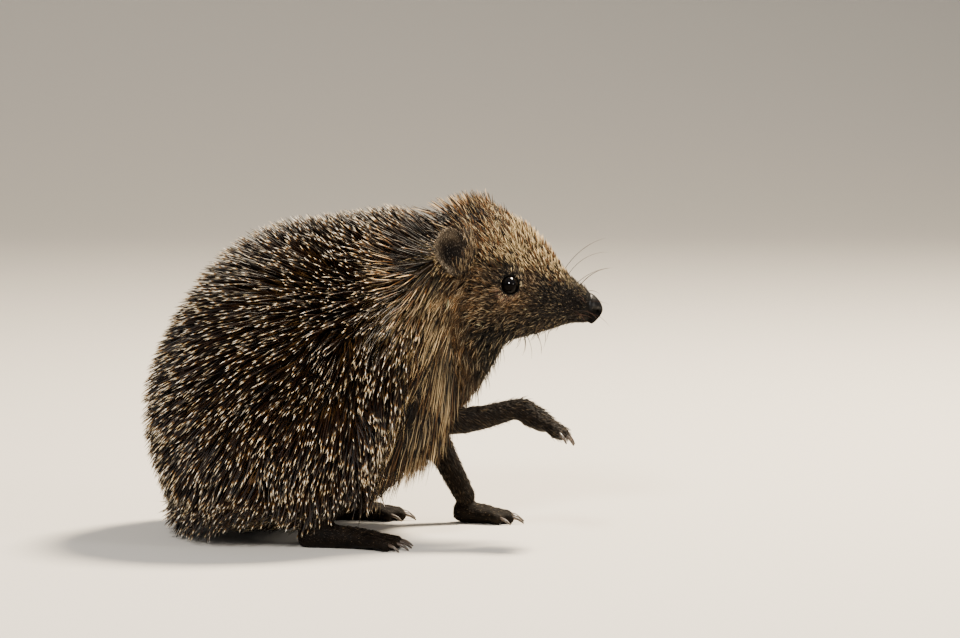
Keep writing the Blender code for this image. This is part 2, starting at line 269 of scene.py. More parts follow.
def add(tree, kind, inputs=None, stops=(), **settings):
    """Adds a node. Inputs are values or sockets, and stops are places and colours on a ramp."""
    node = tree.nodes.new("ShaderNode" + kind)
    for key, value in settings.items():
        setattr(node, key, value)
    for key, value in (inputs or {}).items():
        if isinstance(value, bpy.types.NodeSocket):
            tree.links.new(value, node.inputs[key])
        else:
            node.inputs[key].default_value = value
    for number, (place, code) in enumerate(stops):
        elements = node.color_ramp.elements
        stop = elements[number] if number < 2 else elements.new(place)
        stop.position = place
        stop.color = colour(code)
    return node


def new_material(name, **values):
    """A Principled material. Each value is set on the shader's own socket, with _ for a space."""
    made = bpy.data.materials.new(name)
    made.use_nodes = True
    shader = made.node_tree.nodes["Principled BSDF"]
    for key, value in values.items():
        shader.inputs[key.replace("_", " ")].default_value = value
    return made, made.node_tree, shader


def finish(obj, material, tree, shader, **sources):
    """Links the last nodes to the shader, with _ for a space, and gives the material to an object."""
    for key, source in sources.items():
        tree.links.new(source, shader.inputs[key.replace("_", " ")])
    obj.data.materials.append(material)
    print(obj.name, "is", material.name, "with", len(tree.nodes), "nodes")


# %% Floor and backdrop
# A studio sweep: the floor curves up behind the animal, so no edge or horizon shows.
SWEEP_M, SWEEP_BEND_M = 3.0, 1.4

bpy.ops.object.select_all(action="DESELECT")
bpy.ops.mesh.primitive_plane_add(size=2 * SWEEP_M)
floor = bpy.context.active_object
floor.name = "floor"
with editing(floor, "DESELECT"):
    bpy.ops.mesh.select_mode(type="EDGE")


def select_edges(obj, chosen):
    """Selects the edges whose two ends are both chosen."""
    for edge in obj.data.edges:
        edge.select = all(chosen(obj.data.vertices[v].co) for v in edge.vertices)


select_edges(floor, lambda place: place.y > 0)
with editing(floor, None):
    bpy.ops.mesh.extrude_region_move(TRANSFORM_OT_translate={"value": (0, 0, 2 * SWEEP_M)})
select_edges(floor, lambda place: place.y > 0 and place.z < MM)
with editing(floor, None):
    bpy.ops.mesh.bevel(offset=SWEEP_BEND_M, segments=24, affect="EDGES")
bpy.ops.object.shade_smooth()

paint, tree, shader = new_material("matt_paint", Roughness=0.9, Base_Color=colour("e2ddd4"))
grain = add(tree, "TexNoise", {"Scale": 900.0, "Detail": 2.0})
bump = add(tree, "Bump", {"Strength": 0.05, "Distance": 0.0002, "Height": grain.outputs["Fac"]})
finish(floor, paint, tree, shader, Normal=bump.outputs["Normal"])

# %% Lights
# A soft light high behind the animal lights the edges of the spines. A second one in front fills the
# shadows, and a third, on the nose's side, gives the eye its highlight.
AIM = Vector((0.0, 0.0, 0.07))
LIGHT_M = 0.3
LIGHTS = (
    ("key_light", (0.55, 0.4, 1.15), 66.0, "ffedd2"),
    ("fill_light", (-0.25, -1.3, 0.95), 26.0, "fbf6f0"),
    ("front_light", (1.1, -0.7, 0.45), 6.0, "fff6ea"),
)

for name, place, watts, tint in LIGHTS:
    light = bpy.data.lights.new(name, "AREA")
    light.shape = "DISK"
    light.size = LIGHT_M
    light.energy = watts
    light.color = colour(tint)[:3]
    lamp = new_object(name, light)
    lamp.location = place
    lamp.rotation_euler = (AIM - Vector(place)).to_track_quat("-Z", "Y").to_euler()

world = bpy.data.worlds.new("studio")
bpy.context.scene.world = world
world.use_nodes = True
sky = world.node_tree.nodes["Background"]
sky.inputs["Color"].default_value = colour("e9edf2")
sky.inputs["Strength"].default_value = 0.25
print(len(LIGHTS), "lights")

# %% [markdown]
# ## The skin
#
# A hedgehog's skin is one bag, from the lips to the tail. The solids are cut into parts with thin gaps
# and have pockets for legs and ears, so they can't simply be joined. Instead the body is sliced across
# like a loaf, and each slice is wrapped tight in a convex hull, which closes pockets and gaps. The
# hulls overlap a little, and a voxel remesh melts them into one surface. That surface is where the
# tips of the coat end. The skin itself lies deeper, by the depth of the coat.

# %% Slice the body and wrap each slice
LOAF = ("trunk", "neck", "head", "lower_jaw", "nose")
SLICES_MM = (-90, -40, 0, 7, 14, 21, 28, 34, 39, 44, 48, 52, 57, 62, 67, 72, 84)
SLICE_OVERLAP_MM = 0.6


def wrapped_slice(source, start_mm, end_mm):
    """The part of a mesh between two places along X, wrapped in a convex hull."""
    piece = new_object("slice", source.data.copy())
    with editing(piece):
        for place, inner in ((start_mm - SLICE_OVERLAP_MM, True), (end_mm + SLICE_OVERLAP_MM, False)):
            bpy.ops.mesh.select_all(action="SELECT")
            bpy.ops.mesh.bisect(
                plane_co=(place * MM, 0, 0), plane_no=(1, 0, 0), clear_inner=inner, clear_outer=not inner
            )
        bpy.ops.mesh.select_all(action="SELECT")
        bpy.ops.mesh.convex_hull()
    return piece


loaf = join([copy_of(node, node + "_copy") for node in LOAF], "loaf")
slices = [wrapped_slice(loaf, start, end) for start, end in zip(SLICES_MM, SLICES_MM[1:])]
bpy.data.objects.remove(loaf)
body = join(slices, "body")
print(len(slices), "slices")

# %% The outer surface of the coat
# The solids are faceted. The facets are widest on the trunk, so it is relaxed most.
BODY_VOXEL_MM = 1.6
TRUNK_FROM_MM = (70, 100)

remesh(body, BODY_VOXEL_MM)
ends = edge_ends(body)
points = points_mm(body)
from_nose = length(points - NOSE_TIP)
points = relaxed(points, ends, 0.5 * smooth(*TRUNK_FROM_MM, from_nose), times=24)
points = relaxed(points, ends, 0.5, times=2)
set_points(body, points)
coat_tree = tree_of(body)
print("outer surface:", len(points), "points")

# %% [markdown]
# The coat is about 12 mm deep on the back, where the spines stand, and under 1 mm on the muzzle.
# The surface sinks in eight small steps and is relaxed a little after each, so that it can't fold.

# %% Sink the skin under the coat
DEPTH_STEPS = 8
FROM_NOSE_MM = (0, 5, 7.5, 10, 14, 30, 40, 50, 60, 75, 92)
COAT_DEPTH_MM = (1.2, 0.8, -0.1, -0.1, 0.4, 1.1, 2.0, 4.0, 6.5, 10.0, 12.5)
BELLY_DEPTH_MM = 5.0
EAR_DEPTH_MM, EAR_REACH_MM = 1.2, 10.0


def coat_depth(points, facing):
    """The depth of the coat, in millimetres, from the place and the way the surface faces."""
    depth = np.interp(length(points - NOSE_TIP), FROM_NOSE_MM, COAT_DEPTH_MM)
    under = smooth(0.3, 0.8, -facing[:, 2])
    depth = depth * (1 - under) + np.minimum(depth, BELLY_DEPTH_MM) * under
    for ear in EARS.values():
        near = bell(length(points - ear) / EAR_REACH_MM)
        depth = depth * (1 - near) + np.minimum(depth, EAR_DEPTH_MM) * near
    return depth


depth = coat_depth(points, normals(body))[:, None] / DEPTH_STEPS
for _ in range(DEPTH_STEPS):
    points = points - normals(body) * depth
    points = relaxed(points, ends, 0.35 * smooth(30, 80, from_nose), times=2)
    set_points(body, points)
body_tree = tree_of(body)
print("skin sunk; the trunk is now", round(float(np.ptp(points[:, 1])), 1), "mm wide")

# %% [markdown]
# Legs, feet and tail are added to the body and melted in by a second, finer remesh, so no seam shows
# where they join. A small mound of flesh under each ear carries it, as the ear's muscles do.
#
# An ear is too thin for the remesh, which would fray its edge. It is rounded by itself, and a Boolean
# union welds it on. The edge of the weld is then relaxed, so the ear grows out of the skin.

# %% Legs, feet and tail
SKIN_VOXEL_MM = 0.95
LEG_HAIR_MM = 0.3
EAR_ROOT_MM, EAR_ROOT_IN_MM, EAR_ROOT_DOWN_MM = 3.0, 5.2, 3.0
FLOOR_GAP_MM = 0.05

limbs = []
for side in SIDES:
    limbs += [copy_of(f"{leg}_{side}", f"{leg}_copy", -LEG_HAIR_MM) for leg in LEGS]
    limbs += [copy_of(f"{foot}_{side}", f"{foot}_copy", LEG_HAIR_MM) for foot in FEET]
    outward = np.array([0, math.copysign(1.0, EARS[side][1]), 0])
    place = (EARS[side] - outward * EAR_ROOT_IN_MM + np.array([0, 0, -EAR_ROOT_DOWN_MM])) * MM
    bpy.ops.object.select_all(action="DESELECT")
    bpy.ops.mesh.primitive_uv_sphere_add(radius=EAR_ROOT_MM * MM, location=place)
    bpy.ops.object.transform_apply(location=True, rotation=False, scale=False)
    limbs.append(bpy.context.active_object)
limbs.append(copy_of("tail", "tail_copy", -LEG_HAIR_MM))
skin = join([body] + limbs, "skin")
remesh(skin, SKIN_VOXEL_MM)
points = relaxed(points_mm(skin), edge_ends(skin), 0.5, times=2)
points[:, 2] = np.maximum(points[:, 2], FLOOR_GAP_MM)
set_points(skin, points)
print("skin:", len(points), "points")

# %% Ears
EAR_WALL_MM = 0.25

for side in SIDES:
    ear = copy_of(f"ear_{side}", "ear_copy", EAR_WALL_MM)
    apply_modifier(ear, "SUBSURF", levels=2, render_levels=2)
    apply_modifier(skin, "BOOLEAN", operation="UNION", object=ear, solver="EXACT")
    bpy.data.objects.remove(ear)
points = points_mm(skin)
points = relaxed(points, edge_ends(skin), 0.4 * smooth(13, 11, nearest(points, EARS)), times=3)
set_points(skin, points)
print("skin with ears:", len(points), "points")

# %% [markdown]
# ## Eyelids and mouth
#
# The remesh left one even grid, which is too coarse for an eyelid. So the faces round the eyes, the
# mouth and the nose are cut finer in edit mode, and only there.
#
# A hedgehog's eye is a shiny bead that stands well out of the face. Its lids are thin black rims that
# fit the ball closely. In each eye's own frame, the skin is lifted into a ring round the ball and
# pushed down inside it, so the ball sits in a real socket. The mouth is a thin crease that runs back
# from under the nose, with the lower lip a little further in than the upper one.

# %% Cut the face finer
EYE_TURN = math.radians(27.0)
MOUTH_X_MM = (JAW_LOW[0], JAW_LOW[0] + 7.0, JAW_HIGH[0])
MOUTH_Z_MM = (JAW_HIGH[2] - 3.4, JAW_HIGH[2], JAW_HIGH[2] - 1.8)
FINE_EYE_MM, FINE_MOUTH_MM, FINE_NOSE_MM = 6.0, 1.6, 9.0


def eye_frame(side):
    """Three unit vectors at an eye: forwards along the lids, up, and outwards."""
    y = math.copysign(1.0, EYES[side][1])
    out = unit(np.array([math.sin(EYE_TURN), y * math.cos(EYE_TURN), 0.04]))
    forward = unit(np.array([out[1] * y, -out[0] * y, 0.0]))
    return forward, unit(np.cross(out, forward) * y), out


def above_mouth(points):
    """How far each point lies above the line of the mouth, in millimetres."""
    return points[:, 2] - np.interp(points[:, 0], MOUTH_X_MM, MOUTH_Z_MM)


middles = read(skin.data.polygons, "center", 3) / MM
fine = np.abs(above_mouth(middles)) < FINE_MOUTH_MM
fine &= middles[:, 0] > JAW_LOW[0] - 2
fine |= (nearest(middles, EYES) < FINE_EYE_MM) | (length(middles - NOSE_TIP) < FINE_NOSE_MM)
bpy.ops.object.select_all(action="DESELECT")
for items in (skin.data.vertices, skin.data.edges):
    items.foreach_set("select", np.zeros(len(items), bool))
skin.data.polygons.foreach_set("select", fine)
with editing(skin, None):
    bpy.ops.mesh.select_mode(type="FACE")
    bpy.ops.mesh.subdivide(number_cuts=3)
print("finer skin:", len(skin.data.vertices), "points")

# %% Shape the lids and the mouth
LID_ACROSS_MM = (0.0, 2.7, 3.1, 3.28, 3.5, 3.8, 4.4, 6.0)
LID_HEIGHT_MM = (0.0, 0.0, 0.3, 1.0, 1.2, 1.05, 0.75, 0.3)
LID_ENDS_MM = (4.4, 7.0)
EYE_LENGTH, EYE_ROUNDNESS = 1.05, 0.97
CREASE_DEPTH_MM, CREASE_WIDTH_MM = 0.7, 0.45
LIP_STEP_MM = 0.35

points, facing = points_mm(skin), normals(skin)
for side, eye in EYES.items():
    forward, up, out = eye_frame(side)
    offset = points - eye
    u, v, h = offset @ forward, offset @ up, offset @ out
    across = np.hypot(u / EYE_LENGTH, v / EYE_ROUNDNESS)
    share = (1 - smooth(*LID_ENDS_MM, across)) * (h > -6)
    wanted = np.interp(across, LID_ACROSS_MM, LID_HEIGHT_MM)
    points = points + (share * (wanted - h))[:, None] * out

gap = above_mouth(points)
along = smooth(JAW_LOW[0] - 2, JAW_LOW[0] + 3, points[:, 0])
inwards = CREASE_DEPTH_MM * bell(gap / CREASE_WIDTH_MM)
inwards += LIP_STEP_MM * smooth(0.2, -0.4, gap) * smooth(-4, -2, gap)
points = points - facing * (inwards * along)[:, None]
set_points(skin, points)
skin_tree = tree_of(skin)
print("lids round eyes of radius", round(float(EYE_RADIUS_MM), 2), "mm")

# %% [markdown]
# ## Eyeballs
#
# Each eye is a ball with a slightly domed cornea over a dark brown iris. It looks black, because the
# pupil is wide and the iris nearly as dark. What makes it alive is the wet surface, which shows the
# lights as small sharp spots.

# %% Model the eyeballs
CORNEA_RADIUS_MM, CORNEA_DOME_MM = 2.4, 0.28


def eyeball(side):
    """A ball with a dome in front. Its attribute says how far each place faces up, and so how much it
    mirrors: the lower half mirrors little, as painted shade.
    """
    bpy.ops.object.select_all(action="DESELECT")
    bpy.ops.mesh.primitive_uv_sphere_add(segments=64, ring_count=40, radius=EYE_RADIUS_MM * MM)
    ball = bpy.context.active_object
    ball.name = f"eyeball_{side}"
    forward, up, out = eye_frame(side)
    points = points_mm(ball)
    across = np.hypot(points @ forward, points @ up)
    dome = CORNEA_DOME_MM * (1 - smooth(0.4, CORNEA_RADIUS_MM, across)) * (points @ out > 0)
    set_points(ball, points + dome[:, None] * out + EYES[side])
    bpy.ops.object.shade_smooth()
    # Painted shade: places that face down mirror far less than those that face up.
    set_attribute(ball.data, "gloss_and_painted_shade", "FLOAT", smooth(-0.05, 0.6, normals(ball)[:, 2]))
    return ball


eyeballs = {side: eyeball(side) for side in SIDES}
for side, ball in eyeballs.items():
    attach(ball, "root")
    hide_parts(f"eye_{side}")

# %% Eye material
# A wet cornea: almost no roughness, the refractive index of tears, and a deep brown-black beneath. Its
# upper half mirrors the sky and the lights. Its lower half mirrors far less: painted shade, for the shade of
# the cheek's hair.
cornea, tree, shader = new_material("wet_cornea", Roughness=0.05, IOR=1.34)
gloss_and_painted_shade = add(tree, "Attribute", attribute_name="gloss_and_painted_shade").outputs["Fac"]
gloss = add(tree, "MapRange", {"Value": gloss_and_painted_shade, "To Min": 0.05, "To Max": 0.9}).outputs["Result"]
place = add(tree, "TexCoord").outputs["Object"]
fleck = add(tree, "TexNoise", {"Vector": place, "Scale": 1800.0, "Detail": 2.0}).outputs["Fac"]
iris = add(tree, "ValToRGB", {"Fac": fleck}, ((0.35, "020202"), (0.7, "080504"))).outputs["Color"]
for ball in eyeballs.values():
    finish(ball, cornea, tree, shader, Base_Color=iris, Specular_IOR_Level=gloss)

# %% [markdown]
# ## Nose leather
#
# The end of the snout is bare, black and always wet. It is pebbled like fine leather, with a comma
# shaped nostril low on each side and a groove down the middle of the upper lip.

# %% Shape the nose
NOSE_VOXEL_MM = 0.34
NOSE_SWELL_MM = 0.05
NOSE_TUCK, NOSE_TUCK_MM = 0.13, 2.4

nose = copy_of("nose", "nose_leather", NOSE_SWELL_MM)
remesh(nose, NOSE_VOXEL_MM)
points = relaxed(points_mm(nose), edge_ends(nose), 0.5, times=5)
# The back edge is drawn in, so that the furred skin closes over it.
tuck = 1 - NOSE_TUCK * smooth(NOSE_LOW[0] + NOSE_TUCK_MM, NOSE_LOW[0], points[:, 0])
middle = np.array([0, (NOSE_LOW[2] + NOSE_HIGH[2]) / 2])
points[:, 1:] = (points[:, 1:] - middle) * tuck[:, None] + middle
set_points(nose, points)
print("nose:", len(points), "points")

# %% Sink the nostrils and the groove
NOSTRIL_MM = np.array([NOSE_HIGH[0] - 1.7, 2.9, NOSE_LOW[2] + 4.6])
NOSTRIL_DEPTH_MM, NOSTRIL_RADIUS_MM = 1.9, 1.15
SLIT_MM, SLIT_RADIUS_MM, SLIT_DEPTH = 2.4, 0.6, 0.75
GROOVE_DEPTH_MM, GROOVE_WIDTH_MM = 0.55, 0.5

facing = normals(nose)
hole = np.zeros(len(points))
for y in (-1, 1):
    offset = points - NOSTRIL_MM * (1, y, 1)
    # The comma's head is round, and its tail runs up and back round the side of the nose.
    head = bell(length(offset * (1.0, 1.0, 1.15)) / NOSTRIL_RADIUS_MM)
    tail = unit(np.array([-1.7, y * 1.3, 0.9]))
    shift = np.clip(offset @ tail, 0, SLIT_MM)[:, None] * tail
    slit = bell(length(offset - shift) / SLIT_RADIUS_MM)
    hole = np.maximum(hole, np.maximum(head, SLIT_DEPTH * slit))
groove = bell(points[:, 1] / GROOVE_WIDTH_MM) * smooth(0.2, 0.9, facing[:, 0])
groove *= smooth(NOSTRIL_MM[2] + 3.5, NOSTRIL_MM[2] + 0.5, points[:, 2])
sink = NOSTRIL_DEPTH_MM * hole + GROOVE_DEPTH_MM * groove
set_points(nose, points - facing * sink[:, None])
# Painted shade: the underside, which faces down, is given a dull, weak gloss.
set_attribute(nose.data, "gloss_and_painted_shade", "FLOAT", smooth(-0.3, 0.3, facing[:, 2]))
pick(nose)
bpy.ops.object.shade_smooth()
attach(nose, "root")
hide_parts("nose")
print("nostrils sunk by up to", round(float(sink.max()), 2), "mm")

# %% Nose material
# Bare wet skin: pebbles 0.5 mm across, black in the pits and bluish grey-black on the tops, which is painted
# shade in the pits and a painted sheen on the tops. The top shines most, and the underside is dull and
# mirrors little: painted shade.
leather, tree, shader = new_material("wet_nose_leather", IOR=1.4)
gloss_and_painted_shade = add(tree, "Attribute", attribute_name="gloss_and_painted_shade").outputs["Fac"]
for socket, shaded_under, shiny in (("Roughness", 0.9, 0.34), ("Specular IOR Level", 0.05, 0.3)):
    gloss = add(tree, "MapRange", {"Value": gloss_and_painted_shade, "To Min": shaded_under, "To Max": shiny})
    tree.links.new(gloss.outputs["Result"], shader.inputs[socket])
place = add(tree, "TexCoord").outputs["Object"]
pebble = add(tree, "TexVoronoi", {"Vector": place, "Scale": 1900.0}, feature="SMOOTH_F1").outputs["Distance"]
# Painted sheen and shade: the pebble tops are paler and bluish, the pits blacker.
tone = add(tree, "ValToRGB", {"Fac": pebble}, ((0.1, "0c0b0c"), (0.7, "040303"))).outputs["Color"]
bump = add(tree, "Bump", {"Strength": 0.7, "Distance": 0.00012, "Height": pebble}, invert=True)
finish(nose, leather, tree, shader, Base_Color=tone, Normal=bump.outputs["Normal"])

# %% [markdown]
# ## Claws
#
# Hedgehogs dig, so the claws are strong, curved and blunt. The solids have their place and curve. A
# subdivision rounds them, and one joined piece carries them all.

# %% Round the claws
CLAWS = [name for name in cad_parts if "_claw_" in name]
CLAW_SWELL_MM = 0.1

claws = join([copy_of(name, "claw_copy", CLAW_SWELL_MM) for name in CLAWS], "claws")
apply_modifier(claws, "SUBSURF", levels=2, render_levels=2)
pick(claws)
bpy.ops.object.shade_smooth()
points = points_mm(claws)
points[:, 2] = np.maximum(points[:, 2], 0.0)
set_points(claws, points)
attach(claws, "root")
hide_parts(*CLAWS)
print(len(CLAWS), "claws,", len(points), "points")

# %% Claw material
# Keratin: darker at the root, pale and worn at the tip, with fine lengthwise streaks.
HORN_STOPS = ((0.3, "1c1511"), (0.55, "3d3026"), (0.8, "6b5945"))

horn, tree, shader = new_material("claw_horn", Roughness=0.42, IOR=1.55, Coat_Weight=0.15)
place = add(tree, "TexCoord").outputs["Object"]
stretch = add(tree, "Mapping", {"Vector": place, "Scale": (600.0, 2600.0, 1400.0)}).outputs["Vector"]
streak = add(tree, "TexNoise", {"Vector": stretch, "Scale": 1.0, "Detail": 3.0}).outputs["Fac"]
tone = add(tree, "ValToRGB", {"Fac": streak}, HORN_STOPS).outputs["Color"]
bump = add(tree, "Bump", {"Strength": 0.3, "Distance": 0.0001, "Height": streak})
finish(claws, horn, tree, shader, Base_Color=tone, Normal=bump.outputs["Normal"])

# %% [markdown]
# ## Markings
#
# Hedgehog hair is agouti: each hair is dark below and pale near its tip. The face is a dark mask, the
# brow and the skirt are sandy, and the legs are near black. One function gives the colour for any place
# on the animal, and both the skin and the coat take their colours from it, so that they always agree.

# %% Which part each point of the skin belongs to
BODY, EAR, LEG, TAIL = range(4)
SURE_MM = 1.0
UNDER_COAT_MM = 1.0

points = points_mm(skin)
off_body = np.array([body_tree.find_nearest(Vector(p * MM))[3] for p in points]) / MM
sure = off_body > SURE_MM
part = np.full(len(points), BODY)
part[sure] = LEG
part[sure & (points[:, 0] < -38) & (np.abs(points[:, 1]) < 8)] = TAIL
part[sure & (points[:, 0] > 15) & (points[:, 2] > 70)] = BODY
part[(off_body > 0.5 * SURE_MM) & (nearest(points, EARS) < 12)] = EAR
# The tops of the legs lie inside the coat, and the body's hair covers them.
covered = {}
for number in np.flatnonzero(part == LEG):
    place, outwards, _, _ = coat_tree.find_nearest(Vector(points[number] * MM))
    if (Vector(points[number] * MM) - place).dot(outwards) < -UNDER_COAT_MM * MM:
        part[number] = BODY
        covered[number] = outwards
print("points on body, ears, legs, tail:", np.bincount(part))

# %% Colours, and lines across the face
FACE_MM, FACE_END_MM = 44.0, 58.0
FIELD, BROW, CHEEK, MASK, MUZZLE_TOP = "20170f", "5a4228", "584129", "1c1611", "7c694c"
THROAT, SKIRT, BELLY = "100c06", "5c4429", "4e3c28"
EAR_SKIN, EAR_RIM, EAR_HOLLOW_SHADE = "4c3f31", "94836d", "201812"
LEG_HAIR, LID, BROW_LINE, NOSE_EDGE = "2b2015", "0a0807", "8a6a58", "0e0b0a"
BROW_LINE_X_MM, BROW_LINE_Z_MM = (28, 37, 49, 60, 75), (101, 100.5, 98.5, 96.5, 89)


def above_brow(points):
    """How far each place lies above a line from the ear, over the eye, to the top of the nose."""
    return points[:, 2] - np.interp(points[:, 0], BROW_LINE_X_MM, BROW_LINE_Z_MM)


def blend(base, code, share):
    """Mixes a hex colour into an array of linear colours."""
    return base + (np.array(colour(code)[:3]) - base) * np.asarray(share)[:, None]


def eye_offsets(points):
    """From the nearer eye's middle: distance across the lids, height, and distance forwards."""
    side = np.where(points[:, 1] > 0, 0, 1)
    across, above, ahead = np.empty((3, len(points)))
    for number, name in enumerate(SIDES):
        mine = side == number
        forward, up, out = eye_frame(name)
        offset = points[mine] - EYES[name]
        across[mine] = np.sqrt((offset @ forward) ** 2 + (offset @ up) ** 2 + 0.2 * (offset @ out) ** 2)
        above[mine] = offset @ up
        ahead[mine] = offset @ forward
    return across, above, ahead


# %% One function for the colour of any place


def coat_colour(points, facing, part):
    """Linear colours, from layers of paint that each cover a share of those before."""
    x, _, z = points.T
    from_nose = length(points - NOSE_TIP)
    head = smooth(FACE_END_MM + 8, FACE_MM, from_nose)
    upper = smooth(-2, 13, above_brow(points))
    across, above, ahead = eye_offsets(points)
    mask = smooth(36, 24, from_nose) * (1 - upper)
    mask = np.maximum(mask, 0.95 * smooth(12, 6, across) * smooth(4.5, 0.5, above) * smooth(-5, 1, ahead))
    mask = np.maximum(mask, 0.8 * smooth(8.5, 5.5, across) * smooth(1.0, -1.0, above))
    on_ear, from_ear = part == EAR, nearest(points, EARS)
    # Painted shade: the front part of each ear counts as shaded, so its rim stays dark there.
    rim_out_of_shade = smooth(3, -2, x - EARS["right"][0])
    layers = (
        (SKIRT, smooth(-4, 14, x + 0.12 * z) * smooth(112, 96, z)),
        (BELLY, smooth(0.3, 0.8, -facing[:, 2]) * smooth(60, 40, z)),
        (CHEEK, head),
        (THROAT, head * smooth(86, 76, z)),
        (MASK, mask),
        (BROW, upper * smooth(FACE_END_MM + 16, FACE_MM + 8, from_nose)),
        (MUZZLE_TOP, upper * smooth(30, 20, from_nose)),
        (MASK, smooth(14, 9, from_nose)),
        (NOSE_EDGE, smooth(12.5, 9.5, from_nose)),
        (BROW_LINE, 0.6 * smooth(1.2, 0.4, np.abs(across - 4.4)) * smooth(1.0, 2.6, above)),
        (LID, smooth(4.2, 3.7, across)),
        (EAR_SKIN, on_ear),
        # Painted shade: the middle of each ear, its hollow, is darkened.
        (EAR_HOLLOW_SHADE, on_ear * smooth(5.0, 2.0, from_ear)),
        # The rim is pale only at the ear's rear; its front is left dark as painted shade.
        (EAR_RIM, on_ear * smooth(4.0, 6.5, from_ear) * rim_out_of_shade),
        (LEG_HAIR, (part == LEG) | (part == TAIL)),
    )
    tone = np.broadcast_to(np.array(colour(FIELD)[:3]), points.shape)
    for code, share in layers:
        tone = blend(tone, code, share)
    return tone


tone = coat_colour(points, normals(skin), part)
set_attribute(skin.data, "marking", "FLOAT_COLOR", np.column_stack([tone, np.ones(len(tone))]))
print("colours on the skin:", len(tone))

# %% Unwrap the skin
with editing(skin):
    bpy.ops.uv.smart_project(angle_limit=math.radians(66), island_margin=0.002)
skin.data.uv_layers.active.name = "OFBake"
print("skin unwrapped:", len(skin.data.loops), "corners")

# %% Skin material
# Skin seen between hairs: the colour of the coat there, darker, dry and finely creased. The creases
# are 0.4 mm apart, as the pores of fine fur are.


def times_marking(tree, tone):
    """The colour of the marking attribute, times a tone."""
    marking = add(tree, "Attribute", attribute_name="marking").outputs["Color"]
    colours = {"Factor": 1.0, 6: tone, 7: marking}  # the Mix node's two colour inputs
    return add(tree, "Mix", colours, data_type="RGBA", blend_type="MULTIPLY").outputs[2]


hide, tree, shader = new_material("furred_skin", Roughness=0.7, IOR=1.45, Specular_IOR_Level=0.1)
place = add(tree, "TexCoord").outputs["Object"]
patchy = add(tree, "TexNoise", {"Vector": place, "Scale": 420.0, "Detail": 4.0}).outputs["Fac"]
shade = add(tree, "ValToRGB", {"Fac": patchy}, ((0.3, "303030"), (0.7, "909090"))).outputs["Color"]
pores = add(tree, "TexNoise", {"Vector": place, "Scale": 2500.0, "Detail": 2.0}).outputs["Fac"]
bump = add(tree, "Bump", {"Strength": 0.5, "Distance": 0.00015, "Height": pores})
finish(skin, hide, tree, shader, Base_Color=times_marking(tree, shade), Normal=bump.outputs["Normal"])
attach(skin, "root")
FLESH = [f"{name}_{side}" for name in LEGS + FEET + ("ear",) for side in SIDES]
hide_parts("trunk", "neck", "head", "lower_jaw", "tail", *FLESH)

# %% [markdown]
# ## Tools for the coat
#
# A hair could be a curve or a particle, but those vanish when a model is exported. Here each one is a
# thin closed cone of a few faces, bent along its path. Thousands are written into one mesh with numpy.
# Three things make them look grown: the place of each root, the way the hair lies there, and how far it
# is from its root to the outer surface of the coat.

# %% Choose places for roots
skin.data.calc_loop_triangles()
corner = read(skin.data.loop_triangles, "vertices", 3, np.int32)
map_corner = read(skin.data.loop_triangles, "loops", 3, np.int32)
map_places = read(skin.data.uv_layers["OFBake"].data, "uv", 2)
skin_points, skin_facing = points_mm(skin), normals(skin)
for number, outwards in covered.items():
    skin_facing[number] = outwards  # hair over a leg lies with the coat, not round the leg
a, b, c = (skin_points[corner[:, n]] for n in range(3))
areas = length(np.cross(b - a, c - a)) / 2
triangle_part = part[corner].max(axis=1)
print("area of skin in square cm:", round(float(areas.sum()) / 100))


def sample(count, density):
    """Random roots on the skin. density gives the relative number per area at places on the skin."""
    middle = skin_points[corner].mean(axis=1)
    facing = unit(skin_facing[corner].mean(axis=1))
    chance = areas * density(middle, facing, triangle_part)
    chosen = rng.choice(len(areas), count, p=chance / chance.sum())
    first, second = np.sqrt(rng.random(count)), rng.random(count)
    weights = np.column_stack([1 - first, first * (1 - second), first * second])[:, :, None]
    roots = (skin_points[corner[chosen]] * weights).sum(axis=1)
    facing = unit((skin_facing[corner[chosen]] * weights).sum(axis=1))
    places = (map_places[map_corner[chosen]] * weights).sum(axis=1)
    return {"at": roots, "facing": facing, "place": places, "part": triangle_part[chosen]}


def taken(roots, keep):
    return {key: values[keep] for key, values in roots.items()}


def finder(places):
    """A search tree of places."""
    tree = KDTree(len(places))
    for number, place in enumerate(places):
        tree.insert(place, number)
    tree.balance()
    return tree


def spaced(roots, gap_mm):
    """Drops roots that are nearer than gap_mm to one that is kept."""
    tree = finder(roots["at"])
    keep = np.ones(len(roots["at"]), bool)
    gaps = np.broadcast_to(gap_mm, len(keep))
    for number, place in enumerate(roots["at"]):
        if keep[number]:
            keep[[other for _, other, _ in tree.find_range(place, gaps[number])]] = False
            keep[number] = True
    return taken(roots, keep)


# %% Where spines end and hair begins
SPINY_Z_MM = (0, 27, 49, 74, 85, 95, 104, 109, 113, 120)
SPINY_X_MM = (-5, 2, 7.5, 15, 19.5, 22, 24, 34, 43, 47)


def past_spines(points):
    """How far each place lies in front of the edge of the spines."""
    return points[:, 0] - np.interp(points[:, 2], SPINY_Z_MM, SPINY_X_MM)


def spiny(points, facing, part):
    """1 where spines grow, and 0 elsewhere, with a narrow band between."""
    inside = smooth(-1.5, 1.5, -past_spines(points))
    return inside * smooth(-0.62, -0.5, facing[:, 2]) * (part == BODY)


# %% The way the coat lies
# On the trunk the coat streams away from a place above the shoulders, and on the head away from the
# nose. Both are made tangent to the skin.
STREAM_Z_MM = (30, 50, 85, 100, 120)
STREAM_X_MM = (2, 10, 34, 60, 70)
STREAM_TOP_MM = 135.0
SKIRT_FROM_MM = np.array([34.0, 0.0, 110.0])
BELLY_WAY = np.array([-1.0, 0, -0.2])
PARTING_MM, PARTING = 5.0, 2.5


def flat_on(ways, facing):
    return unit(ways - facing * (ways * facing).sum(axis=1, keepdims=True))


